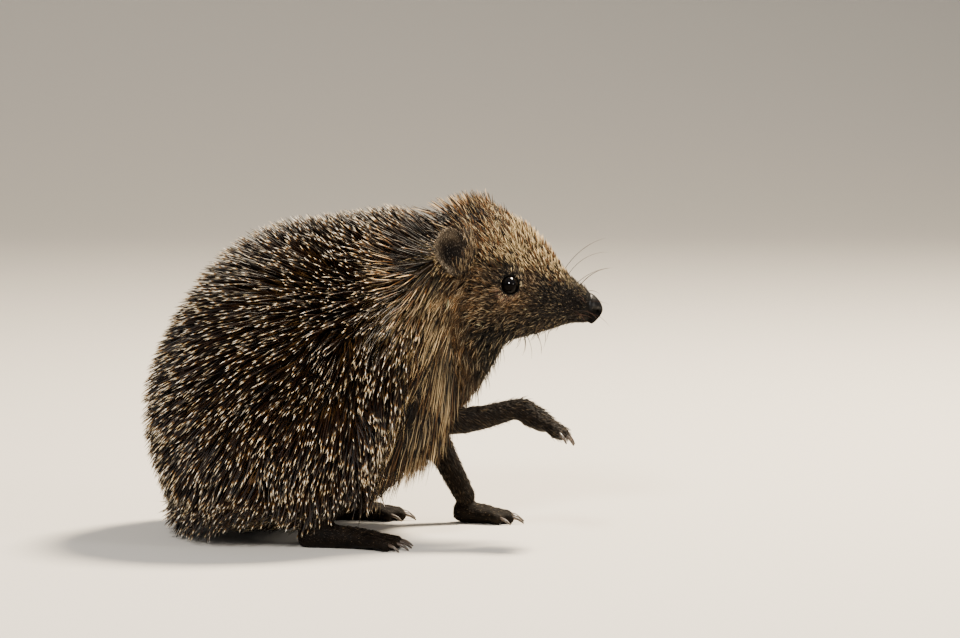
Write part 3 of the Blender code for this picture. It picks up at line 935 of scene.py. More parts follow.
def lie(roots):
    """The way the coat lies at each root: unit vectors along the skin."""
    points, facing = roots["at"], roots["facing"]
    x, _, z = points.T
    from_nose = length(points - NOSE_TIP)
    top = smooth(0.2, 0.7, facing[:, 2]) * smooth(86, 66, from_nose)
    head_share = np.maximum(smooth(60, 46, from_nose), top)
    source = np.column_stack([np.interp(z, STREAM_Z_MM, STREAM_X_MM), 0 * x, 0 * x + STREAM_TOP_MM])
    way = unit(points - source)
    for other, share in (
        (unit(points - SKIRT_FROM_MM), smooth(-4, 8, past_spines(points))),
        (unit((points - NOSE_TIP) * (1, 1, 1.8)), head_share),
        (BELLY_WAY, smooth(0.4, 0.8, -facing[:, 2]) * smooth(60, 45, z)),
    ):
        way = way * (1 - share[:, None]) + other * share[:, None]
    # Hair parts round an eye instead of crossing it.
    for eye in EYES.values():
        offset = points - eye
        way = way + PARTING * bell(length(offset) / PARTING_MM)[:, None] * unit(offset)
    return flat_on(way, facing)


# %% How far hairs reach
EAR_SHORTENING = 0.8


def raised(roots, lies, lift):
    """Directions that leave the skin at an angle, in radians, from the way the coat lies."""
    return np.cos(lift) * lies + np.sin(lift) * roots["facing"]


def under_ear(roots):
    """1 for hair that an ear covers, which is kept short so that it can't come through the ear."""
    covered = np.zeros(len(roots["at"]))
    for ear in EARS.values():
        offset = (roots["at"] - ear) / EAR_HALF_MM
        beside = np.hypot(offset[:, 0], offset[:, 2])
        covered = np.maximum(covered, smooth(1.15, 0.9, beside) * (roots["at"][:, 1] * ear[1] > 0))
    return covered * (roots["part"] != EAR)


def reach(roots, lies, lift, length_mm, vary, least=0.6, most=1.12):
    """Lengths that end near the outer surface of the coat, each varied a little."""
    ways = unit(raised(roots, lies, np.radians(lift)[:, None]))
    length_mm = np.broadcast_to(length_mm, len(ways))
    far = np.empty(len(ways))
    for number, (place, way) in enumerate(zip(roots["at"] + roots["facing"] * 0.05, ways)):
        hit = coat_tree.ray_cast(Vector(place * MM), Vector(way))
        far[number] = hit[3] / MM if hit[0] else length_mm[number]
    lengths = np.clip(far, least * length_mm, most * length_mm)
    return lengths * rng.uniform(*vary, len(ways)) * (1 - EAR_SHORTENING * under_ear(roots))


# %% Paths and locks


def paths_of(roots, lies, lift, lengths, stations, droop, scatter):
    """Points along each hair, which leaves the skin at an angle and sinks back towards it."""
    lifts = np.radians(lift)[:, None]
    lies = flat_on(lies + rng.normal(0, 1, (len(lies), 3)) * scatter, roots["facing"])
    place = roots["at"] - roots["facing"] * 0.25
    paths = [place]
    for before, after in zip(stations, stations[1:]):
        way = raised(roots, lies, lifts - np.radians(droop) * (before + after) / 2)
        place = place + way * (lengths * (after - before))[:, None]
        paths.append(place)
    return np.stack(paths, axis=1)


def locks(roots, gap_mm):
    """Divides roots among the nearest of a few centres. Gives the centres, and each root's centre."""
    centres = spaced(roots, gap_mm)["at"]
    tree = finder(centres)
    return centres, np.array([tree.find(place)[1] for place in roots["at"]])


def wayward(roots, lies, gap_mm, amount):
    """Turns whole tufts of the coat a little, each its own way."""
    centres, nearest_centre = locks(roots, gap_mm)
    return flat_on(lies + rng.normal(0, amount, (len(centres), 3))[nearest_centre], roots["facing"])


def clumped(roots, paths, stations, gap_mm, pull):
    """Draws the tips of neighbouring hairs together into locks."""
    centres, nearest_centre = locks(roots, gap_mm)
    towards = centres[nearest_centre] - roots["at"]
    share = (np.asarray(stations) ** 1.4)[None, :, None] * pull
    return paths + towards[:, None, :] * share, nearest_centre


def tapered(count, radius_mm, vary, shape):
    """The radius at each station of each hair."""
    return (radius_mm * rng.uniform(*vary, count))[:, None] * np.array(shape)


# %% Build hairs as closed tapering meshes
# Each hair has one small patch of the map, at its root's place, so it takes the colour of its place.
PATCH = 0.003
ABOVE_FLOOR_MM = 0.1


def hair_pattern(sides, rings):
    """The faces of one hair: a closed root, walls, and a tip that all walls meet. Corners run
    anticlockwise seen from outside, and each is a point's number and a place on the patch."""
    walls = rings - 1
    turn = np.arange(sides) * 2 * math.pi / sides
    levels = np.linspace(0, 1, rings)

    def spot(j, k):
        return min(j * sides + k % sides, walls * sides), k / sides, levels[j]

    root = [(k, 0.5 + 0.4 * math.cos(turn[k]), 0.1 + 0.1 * math.sin(turn[k])) for k in range(sides)]
    faces = [root[::-1]]
    for j in range(walls):
        for k in range(sides):
            low, high = [spot(j, k), spot(j, k + 1)], [spot(j + 1, k + 1), spot(j + 1, k)]
            faces.append(low + (high if j < walls - 1 else high[1:]))
    return np.array([entry for face in faces for entry in face]), np.array([len(face) for face in faces])


def hair_points(paths, radii, sides):
    """Rings of points round each path, and one point at its tip."""
    count, rings = paths.shape[:2]
    walls = rings - 1
    ways = unit(np.gradient(paths, axis=1))
    across = unit(np.cross(ways, unit(rng.normal(size=(count, 1, 3)))))
    second = np.cross(ways, across)
    turn = (np.arange(sides) * 2 * math.pi / sides)[:, None]
    ring = across[:, :walls, None] * np.cos(turn) + second[:, :walls, None] * np.sin(turn)
    ring = paths[:, :walls, None] + ring * radii[:, :walls, None, None]
    points = np.concatenate([ring.reshape(count, -1, 3), paths[:, -1:]], axis=1)
    points[:, :, 2] = np.maximum(points[:, :, 2], ABOVE_FLOOR_MM)
    return points


def hair_mesh(name, sides, roots, paths, radii, tones, along):
    """One mesh of closed hairs, with a map and with attributes for colour and for how far along."""
    points = hair_points(paths, radii, sides)
    count, each = points.shape[:2]
    pattern, sizes = hair_pattern(sides, paths.shape[1])
    corners = pattern[:, 0].astype(np.int32)[None] + np.arange(count, dtype=np.int32)[:, None] * each
    starts = np.concatenate([[0], np.cumsum(np.tile(sizes, count))[:-1]]).astype(np.int32)
    places = roots["place"][:, None] * (1 - PATCH) + pattern[None, :, 1:] * PATCH

    mesh = bpy.data.meshes.new(name)
    mesh.vertices.add(count * each)
    mesh.loops.add(corners.size)
    mesh.polygons.add(len(sizes) * count)
    mesh.vertices.foreach_set("co", (points * MM).ravel())
    mesh.loops.foreach_set("vertex_index", corners.ravel())
    mesh.polygons.foreach_set("loop_start", starts)
    mesh.update(calc_edges=True)
    mesh.uv_layers.new(name="OFBake").data.foreach_set("uv", places.astype(np.float32).ravel())
    colours = np.concatenate([np.repeat(tones, each, axis=0), np.ones((count * each, 1))], axis=1)
    set_attribute(mesh, "marking", "FLOAT_COLOR", colours)
    level = np.append(np.repeat(along[:, :-1], sides, axis=1), along[:, -1:], axis=1)
    set_attribute(mesh, "along", "FLOAT", level)
    mesh.shade_smooth()
    return mesh


# %% Make coat pieces
MOST_TRIANGLES = 198_000


def grow(name, material, sides, roots, paths, radii, tones, along=None):
    """Makes coat pieces of hairs, each piece with less than the most triangles."""
    count, rings = paths.shape[:2]
    if along is None:
        along = np.broadcast_to(np.linspace(0, 1, rings), (count, rings))
    triangles = 2 * sides * (rings - 1) - 2
    order = np.argsort(roots["at"][:, 0])
    pieces = math.ceil(count * triangles / MOST_TRIANGLES)
    for number, chosen in enumerate(np.array_split(order, pieces), 1):
        label = f"{name}_{number}"
        hairs = (values[chosen] for values in (paths, radii, tones, along))
        mesh = hair_mesh(label, sides, taken(roots, chosen), *hairs)
        piece = new_object(label, mesh)
        mesh.materials.append(material)
        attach(piece, "root")
    print(name, count, "hairs,", count * triangles, "triangles,", pieces, "pieces")


# %% [markdown]
# ## Spines
#
# A hedgehog carries several thousand spines, 20 mm long and under 1 mm thick. They are hairs of hollow
# keratin, cream at the root, dark brown in the middle and cream again at the very tip. From a distance
# the tips are a scatter of pale dashes on a dark field. The spacing matters more than the number, so
# roots that fall too close together are dropped. On the crown and beside the neck they are thinner and
# stand closer.

# %% Choose the roots of the spines
SPINE_GAP_MM, CROWN_GAP_MM = 1.22, 1.0
SPINE_CANDIDATES = 120_000

roots = sample(SPINE_CANDIDATES, spiny)
x, _, z = roots["at"].T
beside_neck = smooth(5, 15, x) * smooth(78, 86, z) * smooth(106, 98, z)
crown = np.maximum(smooth(12, 30, x) * smooth(82, 94, z), beside_neck)
roots["crown"] = crown
roots = spaced(roots, SPINE_GAP_MM + (CROWN_GAP_MM - SPINE_GAP_MM) * crown)
print("spines:", len(roots["at"]))

# %% Shape the spines
SPINE_MM, CROWN_MM = 20.0, 15.0
SPINE_RADIUS_MM, CROWN_RADIUS_MM = 0.3, 0.17
SPINE_STATIONS = (0.0, 0.15, 0.6, 0.9, 1.0)
SPINE_SHAPE = (0.62, 0.95, 1.0, 0.52, 0.0)
TUFT_GAP_MM, TUFT_TURN = 7.0, 0.13

x, _, z = roots["at"].T
count = len(x)
crown = roots["crown"]
lies = wayward(roots, lie(roots), TUFT_GAP_MM, TUFT_TURN)
back = smooth(0.3, 0.9, roots["facing"][:, 2])
nape = back * smooth(-45, -5, x)
lift = rng.normal(38, 8, count) + 10 * back + 12 * nape
lift = lift * (1 - crown) + (rng.normal(38, 7, count) + 18 * back) * crown
lengths = reach(roots, lies, lift, SPINE_MM * (1 - crown) + CROWN_MM * crown, (1.0, 1.13))
# The shoulders are hollow in the solid, and longer spines fill them.
shoulders = bell((x - 15) / 9)
lengths = lengths * (1 + 0.09 * back * smooth(-70, -30, x) + 0.12 * back * shoulders)
paths = paths_of(roots, lies, lift, lengths, SPINE_STATIONS, droop=4.0, scatter=0.11)
radius = SPINE_RADIUS_MM * (1 - crown) + CROWN_RADIUS_MM * crown
radii = tapered(count, radius, (0.85, 1.12), SPINE_SHAPE)
print("spines up to", round(float(lengths.max()), 1), "mm long")

# %% Colour the spines
CROWN_ALONG = (0.36, 0.7, 0.89, 0.93, 1.0)  # crown hairs are pale for the outer half
BRIGHT_SHARE = 0.53

tip_start = rng.normal(0.0, 0.02, count)[:, None]
along = np.array(SPINE_STATIONS) * (1 - crown[:, None]) + np.array(CROWN_ALONG) * crown[:, None]
along = np.clip(along + tip_start, 0, 1)
bright = rng.random(count) < BRIGHT_SHARE
paleness = np.where(bright, rng.uniform(0.9, 1.15, count), rng.uniform(0.06, 0.4, count))
dark_share = crown * (0.1 + 0.35 * smooth(98, 108, z))
paleness = np.where(rng.random(count) < dark_share, 0.1, paleness)
tones = blend(np.tile(np.array(colour("faf2e4")[:3]), (count, 1)), "ecd6a6", rng.random(count))
tones = blend(tones, "e0b87c", 0.75 * crown) * paleness[:, None]
print("bright tips:", int(bright.sum()))

# %% Spine material
# Keratin with a hard gloss. The bands run along each hair: cream, dark brown, cream tip.
ROOT_BANDS = ((0.0, "80694a"), (0.3, "644c31"), (0.42, "29180c"))
TIP_BANDS = ((0.84, "1b1008"), (0.895, "8c6f4a"), (0.92, "ffffff"))


def banded(name, bands, **values):
    """A material with a ramp of tones from root to tip, times the marking of each hair."""
    made, tree, shader = new_material(name, IOR=1.55, **values)
    along_hair = add(tree, "Attribute", attribute_name="along").outputs["Fac"]
    tone = add(tree, "ValToRGB", {"Fac": along_hair}, bands).outputs["Color"]
    tree.links.new(times_marking(tree, tone), shader.inputs["Base Color"])
    return made


quill = banded("spine_keratin", ROOT_BANDS + TIP_BANDS, Roughness=0.42, Specular_IOR_Level=0.28)
grow("spines", quill, 5, roots, paths, radii, tones, along)

# %% [markdown]
# ## Coarse hair
#
# The face, throat, flanks and belly have coarse hair instead of spines. It is under 1 mm long on the
# snout and about 20 mm in the skirt that hangs below the spines. Neighbouring hairs draw together into
# locks. Short hair stands out more, and long hair lies flatter and hangs.

# %% Hair material
# Dry, coarse hair: a soft gloss, darker towards the root and paler towards the tip, partly agouti and partly
# painted shade deep in the coat.
HAIR_BANDS_AND_ROOT_SHADE = ((0.0, "141414"), (0.35, "4e4e4e"), (0.7, "d4d4d4"), (1.0, "eeeeee"))
SHORT, SHORT_SHAPE = (0.0, 0.5, 1.0), (1.0, 0.8, 0.0)
LONG, LONG_SHAPE = (0.0, 0.35, 0.7, 1.0), (0.9, 1.0, 0.75, 0.0)

hair = banded("coarse_hair", HAIR_BANDS_AND_ROOT_SHADE, Roughness=0.55, Specular_IOR_Level=0.22)
print(hair.name, "with stations at", SHORT, "or", LONG)


def agouti(roots, spread=0.5, pale_share=0.2, pale="dcc8a0", pale_mix=0.7):
    """The marking at each root, with each hair a little lighter or darker, and some much paler."""
    tones = coat_colour(roots["at"], roots["facing"], roots["part"])
    tones = tones * np.exp(rng.normal(0, spread, len(tones)))[:, None]
    chosen = (rng.random(len(tones)) < pale_share) * pale_mix * rng.random(len(tones)) ** 0.5
    return np.clip(blend(tones, pale, chosen), 0.002, 0.9)


def kinds(shares, codes, shift):
    """A colour for each hair, picked by share. A positive shift favours the later colours."""
    picked = np.searchsorted(np.cumsum(shares)[:-1], rng.random(len(shift)) + shift)
    return np.array([colour(code)[:3] for code in codes])[picked]


# %% Face
FACE_HAIRS = 36_000
HEAD_FROM_MM = (4, 12, 24, 36, 46, 56, 68)
FACE_LENGTH_MM = (1.1, 1.6, 2.3, 3.4, 4.8, 7.0, 10.0)
FACE_RADIUS_MM = (0.08, 0.1, 0.12, 0.14, 0.17, 0.19, 0.2)
FACE_LIFT = 24.0
FACE_SHAPE = (1.0, 0.85, 0.0)
LID_BARE_MM, LID_SHORT_MM = 3.4, 6.5


def head_share(points, facing, part):
    across = eye_offsets(points)[0]
    share = smooth(66, 60, length(points - NOSE_TIP)) * (across > LID_BARE_MM) * (part == BODY)
    return share * (1 - spiny(points, facing, part)) * (points[:, 0] < NOSE_LOW[0] + 0.9)


def face_share(points, facing, part):
    share = head_share(points, facing, part) / (1 + length(points - NOSE_TIP) / 12)
    by_eye = 1 + 2 * smooth(7, 4.5, eye_offsets(points)[0])
    return share * (1 - 0.6 * smooth(2, 8, above_brow(points))) * by_eye


def over_ear(roots):
    """1 just in front of an ear, where hair stands up beside the ear's front edge."""
    near = np.zeros(len(roots["at"]))
    for ear in EARS.values():
        offset = roots["at"] - ear - np.array([EAR_HALF_MM[0] + 2.0, 0, -1.0])
        near = np.maximum(near, smooth(8, 3, length(offset * (1, 0.6, 0.6))))
    return near


roots = sample(FACE_HAIRS, face_share)
from_nose = length(roots["at"] - NOSE_TIP)
lies = wayward(roots, lie(roots), 3.0, 0.14)
lift = np.clip((FACE_LIFT + 18 * over_ear(roots)) * np.exp(rng.normal(0, 0.3, FACE_HAIRS)), 6, 62)
typical = np.interp(from_nose, HEAD_FROM_MM, FACE_LENGTH_MM)
typical *= 0.3 + 0.7 * smooth(LID_BARE_MM, LID_SHORT_MM, eye_offsets(roots["at"])[0])
lengths = reach(roots, lies, lift, typical, (0.7, 1.2))
paths = paths_of(roots, lies, lift, lengths, SHORT, droop=8.0, scatter=0.14)
paths, lock = clumped(roots, paths, SHORT, np.interp(from_nose, (0, 25, 60), (0.8, 1.4, 2.4)), 0.5)
radii = tapered(FACE_HAIRS, np.interp(from_nose, HEAD_FROM_MM, FACE_RADIUS_MM), (0.75, 1.2), FACE_SHAPE)
lock_tone = np.exp(rng.normal(0, 0.35, lock.max() + 1))[lock][:, None]
dull = np.maximum(smooth(34, 20, from_nose), smooth(84, 76, roots["at"][:, 2]))
tones = agouti(roots, 0.8, 0.3 - 0.18 * dull, "dcc097", 0.85)
grow("face_hair", hair, 3, roots, paths, radii, np.minimum(tones * lock_tone, 0.9))

# %% Brow and crown
# Between the ears and the snout the hair is long, straight and stiff, half way to being spines. Each
# hair is dark below and cream above, and some are dark throughout.
BROW_HAIRS = 10_500
BROW_GAP_MM = 0.26
BROW_LENGTH_MM = (0.9, 2.6, 5.4, 7.5, 9.0, 9.5, 9.5)
BROW_LIFT = (14, 14, 15, 18, 24, 32, 38)
STANDING_SHARE, STANDING_LIFT = 0.22, 24.0
BROW_SHARES, BROW_CODES = (0.44, 0.2, 0.36), ("1a1009", "8c5f33", "ffe2a9")


def brow_share(points, facing, part):
    return head_share(points, facing, part) * smooth(-4, 12, above_brow(points))


roots = spaced(sample(BROW_HAIRS * 3, brow_share), BROW_GAP_MM)
roots = taken(roots, np.arange(len(roots["at"])) < BROW_HAIRS)
count = len(roots["at"])
from_nose = length(roots["at"] - NOSE_TIP)
lies = wayward(roots, lie(roots), 4.0, 0.12)
lift = np.interp(from_nose, HEAD_FROM_MM, BROW_LIFT) * np.exp(rng.normal(0, 0.25, count))
lift = lift + STANDING_LIFT * (rng.random(count) < STANDING_SHARE) + 14 * over_ear(roots)
lift = np.clip(lift, 5, 60)
typical = np.interp(from_nose, HEAD_FROM_MM, BROW_LENGTH_MM)
typical *= 0.35 + 0.65 * smooth(3.5, 9, eye_offsets(roots["at"])[0])
lengths = reach(roots, lies, lift, typical, (0.8, 1.2), least=0.75, most=1.3)
paths = paths_of(roots, lies, lift, lengths, LONG, droop=4.0, scatter=0.12)
radii = tapered(count, np.interp(from_nose, (8, 20, 45), (0.11, 0.15, 0.19)), (0.8, 1.2), LONG_SHAPE)
tones = kinds(BROW_SHARES, BROW_CODES, 0.18 - 0.44 * smooth(36, 52, from_nose))
tones = tones * (rng.uniform(0.5, 1.25, count) * (1 - 0.8 * smooth(20, 13, from_nose)))[:, None]
grow("brow_hair", hair, 3, roots, paths, radii, tones)

# %% Tufts round the ears
# Longer hair grows in front of each ear and below it, and falls up and back across the ear's front.
TUFT_HAIRS = 1_200
TUFT_WAY = np.array([-0.55, 0.0, 0.85])
TUFT_SHARES, TUFT_CODES = (0.48, 0.27, 0.25), ("1a120b", "6a4e31", "cbb086")


def tuft_share(points, facing, part):
    share = np.zeros(len(points))
    for ear in EARS.values():
        offset = (points - ear) / EAR_HALF_MM
        beside = np.hypot(offset[:, 0], offset[:, 2])
        turn = np.degrees(np.arctan2(offset[:, 2], offset[:, 0]))
        ring = smooth(0.75, 0.95, beside) * smooth(1.6, 1.3, beside) * (points[:, 1] * ear[1] > 0)
        share = np.maximum(share, ring * smooth(-85, -55, turn) * smooth(40, 15, turn))
    return share * (part == BODY)


roots = sample(TUFT_HAIRS, tuft_share)
lies = flat_on(np.tile(TUFT_WAY, (TUFT_HAIRS, 1)), roots["facing"])
lift = rng.normal(46, 7, TUFT_HAIRS)
lengths = rng.uniform(6.0, 9.5, TUFT_HAIRS)
paths = paths_of(roots, lies, lift, lengths, LONG, droop=10.0, scatter=0.16)
radii = tapered(TUFT_HAIRS, 0.1, (0.8, 1.2), LONG_SHAPE)
tones = kinds(TUFT_SHARES, TUFT_CODES, np.zeros(TUFT_HAIRS)) * rng.uniform(0.5, 1.1, (TUFT_HAIRS, 1))
grow("ear_tuft", hair, 3, roots, paths, radii, tones)

# %% Skirt
# Long hair hangs below and in front of the spines. It is palest beside the neck.
SKIRT_HAIRS = 15_500
SKIRT_RADIUS_MM = 0.15
SKIRT_SHARES, SKIRT_CODES = (0.42, 0.28, 0.3), ("150e08", "7a5835", "ffdfa8")


def skirt_share(points, facing, part):
    """Hair below and in front of the spines, and some of it among the spines of the neck."""
    z = points[:, 2]
    neck = 0.9 * smooth(-18, -2, past_spines(points)) * smooth(76, 84, z) * smooth(112, 104, z)
    share = smooth(56, 64, length(points - NOSE_TIP)) * (part == BODY)
    share = share * np.maximum(1 - spiny(points, facing, part), neck)
    return share * smooth(-0.75, -0.45, facing[:, 2])


roots = sample(SKIRT_HAIRS, skirt_share)
lies = lie(roots)
lift = rng.normal(18, 5, SKIRT_HAIRS)
typical = np.interp(roots["at"][:, 2], (5, 30, 60, 110), (12, 15, 19, 12))
lengths = reach(roots, lies, lift, typical, (0.75, 1.25))
paths = paths_of(roots, lies, lift, lengths, LONG, droop=16.0, scatter=0.08)
paths, lock = clumped(roots, paths, LONG, 3.0, 0.25)
radii = tapered(SKIRT_HAIRS, SKIRT_RADIUS_MM, (0.7, 1.25), LONG_SHAPE)
lock_shift = rng.normal(0, 0.18, lock.max() + 1)[lock]
neck = smooth(72, 84, roots["at"][:, 2])
chest = smooth(0.15, 0.7, roots["facing"][:, 0])
shift = lock_shift + 0.32 * neck - 0.3 * smooth(12, 0, past_spines(roots["at"])) * (1 - neck) - 0.25 * chest
tones = kinds(SKIRT_SHARES, SKIRT_CODES, shift) * rng.uniform(0.6, 1.3, (SKIRT_HAIRS, 1))
grow("skirt_hair", hair, 3, roots, paths, radii, tones)

# %% [markdown]
# The longest hairs of the skirt hang free below the flank and hide the top of the foreleg. They fan out
# from a place behind the cheek: the rear ones lean back, and the foremost curl forwards at the chest.
# Each starts as the coat lies and then falls. Where it would pass through the skin or the leg, it is
# pushed outwards, and the push grows along the hair, so that the hair bends and doesn't jump.

# %% Where the skirt hangs, and how it drapes
DRAPE_MM, DRAPE_SPREAD_MM, MOST_DRAPE_MM = 0.4, 2.4, 11.0
HANGING_STATIONS = (0.0, 0.25, 0.5, 0.7, 0.85, 1.0)


def hanging_share(points, facing, part):
    x, y, z = points.T
    share = skirt_share(points, facing, part) * smooth(0, 6, x) * smooth(84, 76, z) * smooth(36, 46, z)
    return share * smooth(10, 18, np.abs(y))


def beyond_skin(place, side):
    """How far a place lies inside the skin or the leg beside it, measured sideways."""
    hit = skin_tree.ray_cast(Vector((place[0], side * 100.0, place[2])) * MM, Vector((0, -side, 0)))
    return abs(hit[0].y) / MM + DRAPE_MM - abs(place[1]) if hit[0] else 0.0


def drape(path, side):
    """Leans a hair outwards from its root, so that it hangs over the skin or the leg."""
    levels = np.array(HANGING_STATIONS[1:])
    needed = np.array([beyond_skin(step, side) for step in path[1:]])
    needed = np.where(needed < MOST_DRAPE_MM, np.maximum(needed, 0), 0)
    push = (np.minimum(levels[:, None] / levels, 1) * needed).max(axis=1)
    path[1:, 1] += side * (push + DRAPE_SPREAD_MM * levels * rng.random())


def steps_along(roots, lengths, stations, way_at):
    """Points along each hair. A function gives its unit way at the middle of each step."""
    place = roots["at"] - roots["facing"] * 0.3
    steps = [place]
    for before, after in zip(stations, stations[1:]):
        place = place + way_at((before + after) / 2) * (lengths * (after - before))[:, None]
        steps.append(place)
    return np.stack(steps, axis=1)


# %% Hanging edge of the skirt
HANGING_HAIRS = 5_000
HANGING_RADIUS_MM = 0.125
HANGING_SHAPE = (0.9, 1.0, 1.0, 0.85, 0.6, 0.0)
HEM_X_MM, HEM_Z_MM = (4, 15, 24, 32, 40), (15, 23, 33, 42, 50)
FAN_X_MM, FAN_Z_MM = 34.0, 112.0

roots = sample(HANGING_HAIRS, hanging_share)
x, y, z = roots["at"].T
out = np.sign(y)
fall = unit(np.column_stack([(x - FAN_X_MM) / (FAN_Z_MM - z) * 0.9, 0.04 * out, -np.ones(HANGING_HAIRS)]))
hem = np.interp(x + fall[:, 0] * 15, HEM_X_MM, HEM_Z_MM) + rng.normal(0, 3, HANGING_HAIRS)
lengths = np.clip(z - hem, 14, 30) * rng.uniform(0.9, 1.1, HANGING_HAIRS)
start = raised(roots, lie(roots), np.radians(rng.normal(24, 5, HANGING_HAIRS))[:, None])


def falling(level):
    middle = smooth(0.0, 0.5, level)
    return unit(start * (1 - middle) + fall * middle + rng.normal(0, 0.05, fall.shape))


paths = steps_along(roots, lengths, HANGING_STATIONS, falling)
paths, lock = clumped(roots, paths, HANGING_STATIONS, 3.2, 0.35)
for path, side in zip(paths, out):
    drape(path, side)
radii = tapered(HANGING_HAIRS, HANGING_RADIUS_MM, (0.7, 1.3), HANGING_SHAPE)
# The hanging locks lean to the darker colours and tones: partly random tone, partly painted shade below the
# flank.
lock_shift = rng.normal(-0.14, 0.22, lock.max() + 1)[lock]
tones = kinds(SKIRT_SHARES, SKIRT_CODES, lock_shift) * rng.uniform(0.4, 1.15, (HANGING_HAIRS, 1))
grow("hanging_hair", hair, 3, roots, paths, radii, tones)

# %% Stray hairs
# A few longer hairs stand away from the chin, the throat and the chest, and break up the outline.
STRAY_HAIRS = 1_100
STRAY_FROM_MM, STRAY_LENGTH_MM = (8, 25, 50, 80), (2.2, 4.0, 9.0, 15.0)
STRAY_SHAPE = (1.0, 0.9, 0.65, 0.0)


def stray_share(points, facing, part):
    from_nose = length(points - NOSE_TIP)
    front = smooth(88, 76, points[:, 2]) * smooth(8, 14, from_nose) * smooth(100, 80, from_nose)
    front = front * (facing[:, 0] + 0.35 > np.abs(facing[:, 1]) * 0.4) * smooth(34, 44, points[:, 2])
    edge = 0.5 * skirt_share(points, facing, part)
    return (part == BODY) * np.maximum(front * smooth(0.25, -0.1, facing[:, 2]), edge)


roots = sample(STRAY_HAIRS, stray_share)
lift = rng.uniform(25, 60, STRAY_HAIRS)
lengths = np.interp(length(roots["at"] - NOSE_TIP), STRAY_FROM_MM, STRAY_LENGTH_MM)
lengths = lengths * rng.uniform(0.7, 1.2, STRAY_HAIRS)
paths = paths_of(roots, lie(roots), lift, lengths, LONG, droop=20.0, scatter=0.3)
radii = tapered(STRAY_HAIRS, 0.15, (0.8, 1.2), STRAY_SHAPE)
grow("stray_hair", hair, 3, roots, paths, radii, agouti(roots, pale_share=0.6))

# %% Belly
BELLY_HAIRS = 8_000


def belly_share(points, facing, part):
    under = smooth(-0.4, -0.7, facing[:, 2]) * (part == BODY)
    return under * smooth(56, 64, length(points - NOSE_TIP)) * smooth(1.5, 4, points[:, 2])


roots = sample(BELLY_HAIRS, belly_share)
lift = rng.normal(18, 6, BELLY_HAIRS)
lengths = 9.0 * rng.uniform(0.7, 1.15, BELLY_HAIRS) * smooth(-2, 9, roots["at"][:, 2])
paths = paths_of(roots, lie(roots), lift, lengths, SHORT, droop=12.0, scatter=0.2)
paths, lock = clumped(roots, paths, SHORT, 3.0, 0.5)
radii = tapered(BELLY_HAIRS, 0.22, (0.75, 1.2), SHORT_SHAPE)
grow("belly_hair", hair, 3, roots, paths, radii, agouti(roots))

# %% Legs, feet and tail
LEG_HAIRS = 10_500
SOLE_MM = 1.6
LEG_HAIR_AT_MM, LEG_HAIR_LENGTH_MM = (2, 8, 20, 60), (1.0, 1.6, 2.6, 3.6)
LEG_BOXES = [box_mm(f"{leg}_{side}") for leg in LEGS for side in SIDES]


def leg_share(points, facing, part):
    limb = (part == LEG) | (part == TAIL)
    foot = 1 + 1.2 * smooth(16, 6, points[:, 2])
    return limb * foot * smooth(0.0, 1.0, points[:, 2] - SOLE_MM) * smooth(-0.9, -0.6, facing[:, 2])


def down_limb(roots):
    """Away from the top of the nearest limb, and towards the toes on a foot."""
    ways = np.empty_like(roots["at"])
    best = np.full(len(ways), np.inf)
    for low, high in LEG_BOXES:
        outside = np.maximum(low - roots["at"], roots["at"] - high).max(axis=1)
        top = np.array([low[0] + 5, (low[1] + high[1]) / 2, high[2]])
        nearer = outside < best
        ways[nearer] = unit(roots["at"][nearer] - top)
        best = np.minimum(best, outside)
    foot = smooth(9, 6, roots["at"][:, 2])[:, None]
    ways = ways * (1 - foot) + np.array([1.0, 0, 0]) * foot
    ways[roots["part"] == TAIL] = (-1, 0, 0)
    return flat_on(ways, roots["facing"])


roots = sample(LEG_HAIRS, leg_share)
lift = rng.normal(20, 6, LEG_HAIRS)
lengths = np.interp(roots["at"][:, 2], LEG_HAIR_AT_MM, LEG_HAIR_LENGTH_MM)
lengths = lengths * rng.uniform(0.7, 1.2, LEG_HAIRS)
paths = paths_of(roots, down_limb(roots), lift, lengths, SHORT, droop=12.0, scatter=0.2)
radii = tapered(LEG_HAIRS, 0.115, (0.75, 1.2), SHORT_SHAPE)
grow("leg_hair", hair, 3, roots, paths, radii, agouti(roots, pale_share=0.14, pale="9a8464"))

# %% Ears
EAR_HAIRS = 5_000
EAR_WAY = np.array([-0.2, 0.0, 1.0])


def ear_share(points, facing, part):
    return (part == EAR) * 1.0


roots = sample(EAR_HAIRS, ear_share)
lies = flat_on(np.tile(EAR_WAY, (EAR_HAIRS, 1)), roots["facing"])
lift = rng.normal(24, 7, EAR_HAIRS)
lengths = rng.uniform(0.7, 1.4, EAR_HAIRS)
paths = paths_of(roots, lies, lift, lengths, SHORT, droop=10.0, scatter=0.25)
radii = tapered(EAR_HAIRS, 0.1, (0.75, 1.2), SHORT_SHAPE)
grow("ear_hair", hair, 3, roots, paths, radii, agouti(roots, 0.5, 0.25, "b0a08a"))

# %% [markdown]
# ## Whiskers
#
# Whiskers are long stiff hairs on the sides and top of the snout. The upper ones start upwards and arch
# forwards, and the lower ones spread to the side. Shorter ones hang from the chin.

# %% Where whiskers grow


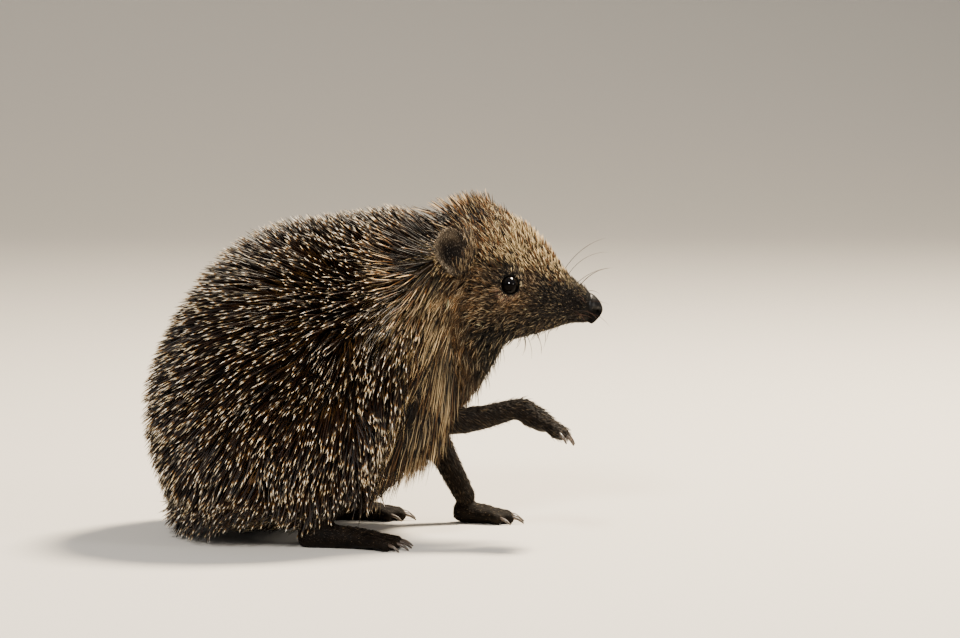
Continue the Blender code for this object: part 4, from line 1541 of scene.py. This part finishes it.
def side_share(points, facing, part):
    x, _, z = points.T
    snout = smooth(64, 67, x) * smooth(77, 75, x) * smooth(77, 80, z) * smooth(88, 84, z)
    return snout * (np.abs(facing[:, 1]) > 0.4) * (part == BODY)


def ridge_share(points, facing, part):
    ridge = smooth(66, 68, points[:, 0]) * smooth(77.5, 76, points[:, 0]) * smooth(0.35, 0.6, facing[:, 2])
    return ridge * (np.abs(points[:, 1]) > 1.0) * (part == BODY)


def chin_share(points, facing, part):
    chin = smooth(50, 54, points[:, 0]) * smooth(73, 70, points[:, 0]) * smooth(-0.3, -0.6, facing[:, 2])
    return chin * (points[:, 2] > 70) * (part == BODY)


# %% Whiskers
WHISKER_STATIONS = np.linspace(0, 1, 13)
WHISKER_RADIUS_MM = 0.17
WHISKERS_TRIED = 40
RUST = "4a2a16"


def grow_whiskers(name, number, share, gap_mm, start, end, length_mm):
    """A few whiskers. Each starts one way and bends to another. Sideways is away from the middle."""
    roots = spaced(sample(number * WHISKERS_TRIED, share), gap_mm)
    roots = taken(roots, np.arange(len(roots["at"])) < number)
    count = len(roots["at"])
    out = np.sign(roots["at"][:, 1])
    sideways = np.column_stack([np.ones(count), out, np.ones(count)])
    lengths = length_mm * rng.uniform(0.75, 1.1, count)
    own = rng.normal(0, 0.12, (count, 3))

    def bending(level):
        return unit((np.array(start) * (1 - level) + np.array(end) * level) * sideways + own)

    paths = steps_along(roots, lengths, WHISKER_STATIONS, bending)
    radii = tapered(count, WHISKER_RADIUS_MM, (0.85, 1.1), (1 - WHISKER_STATIONS) ** 0.7)
    tones = np.tile(np.array(colour(RUST)[:3]), (count, 1))
    grow(name, hair, 4, roots, paths, radii, tones)


UP, AHEAD = (0.7, 0.15, 0.9), (1.0, 0.5, 0.0)
grow_whiskers("top_whiskers", 4, ridge_share, 3.0, UP, AHEAD, 21.0)
SIDEWAYS, DOWN = (0.7, 0.8, 0.2), (0.4, 0.9, -0.4)
grow_whiskers("side_whiskers", 14, side_share, 2.4, SIDEWAYS, DOWN, 19.0)
HANGING, BACK = (0.5, 0.3, -1.0), (-0.4, 0.2, -0.8)
grow_whiskers("chin_whiskers", 14, chin_share, 1.6, HANGING, BACK, 10.0)
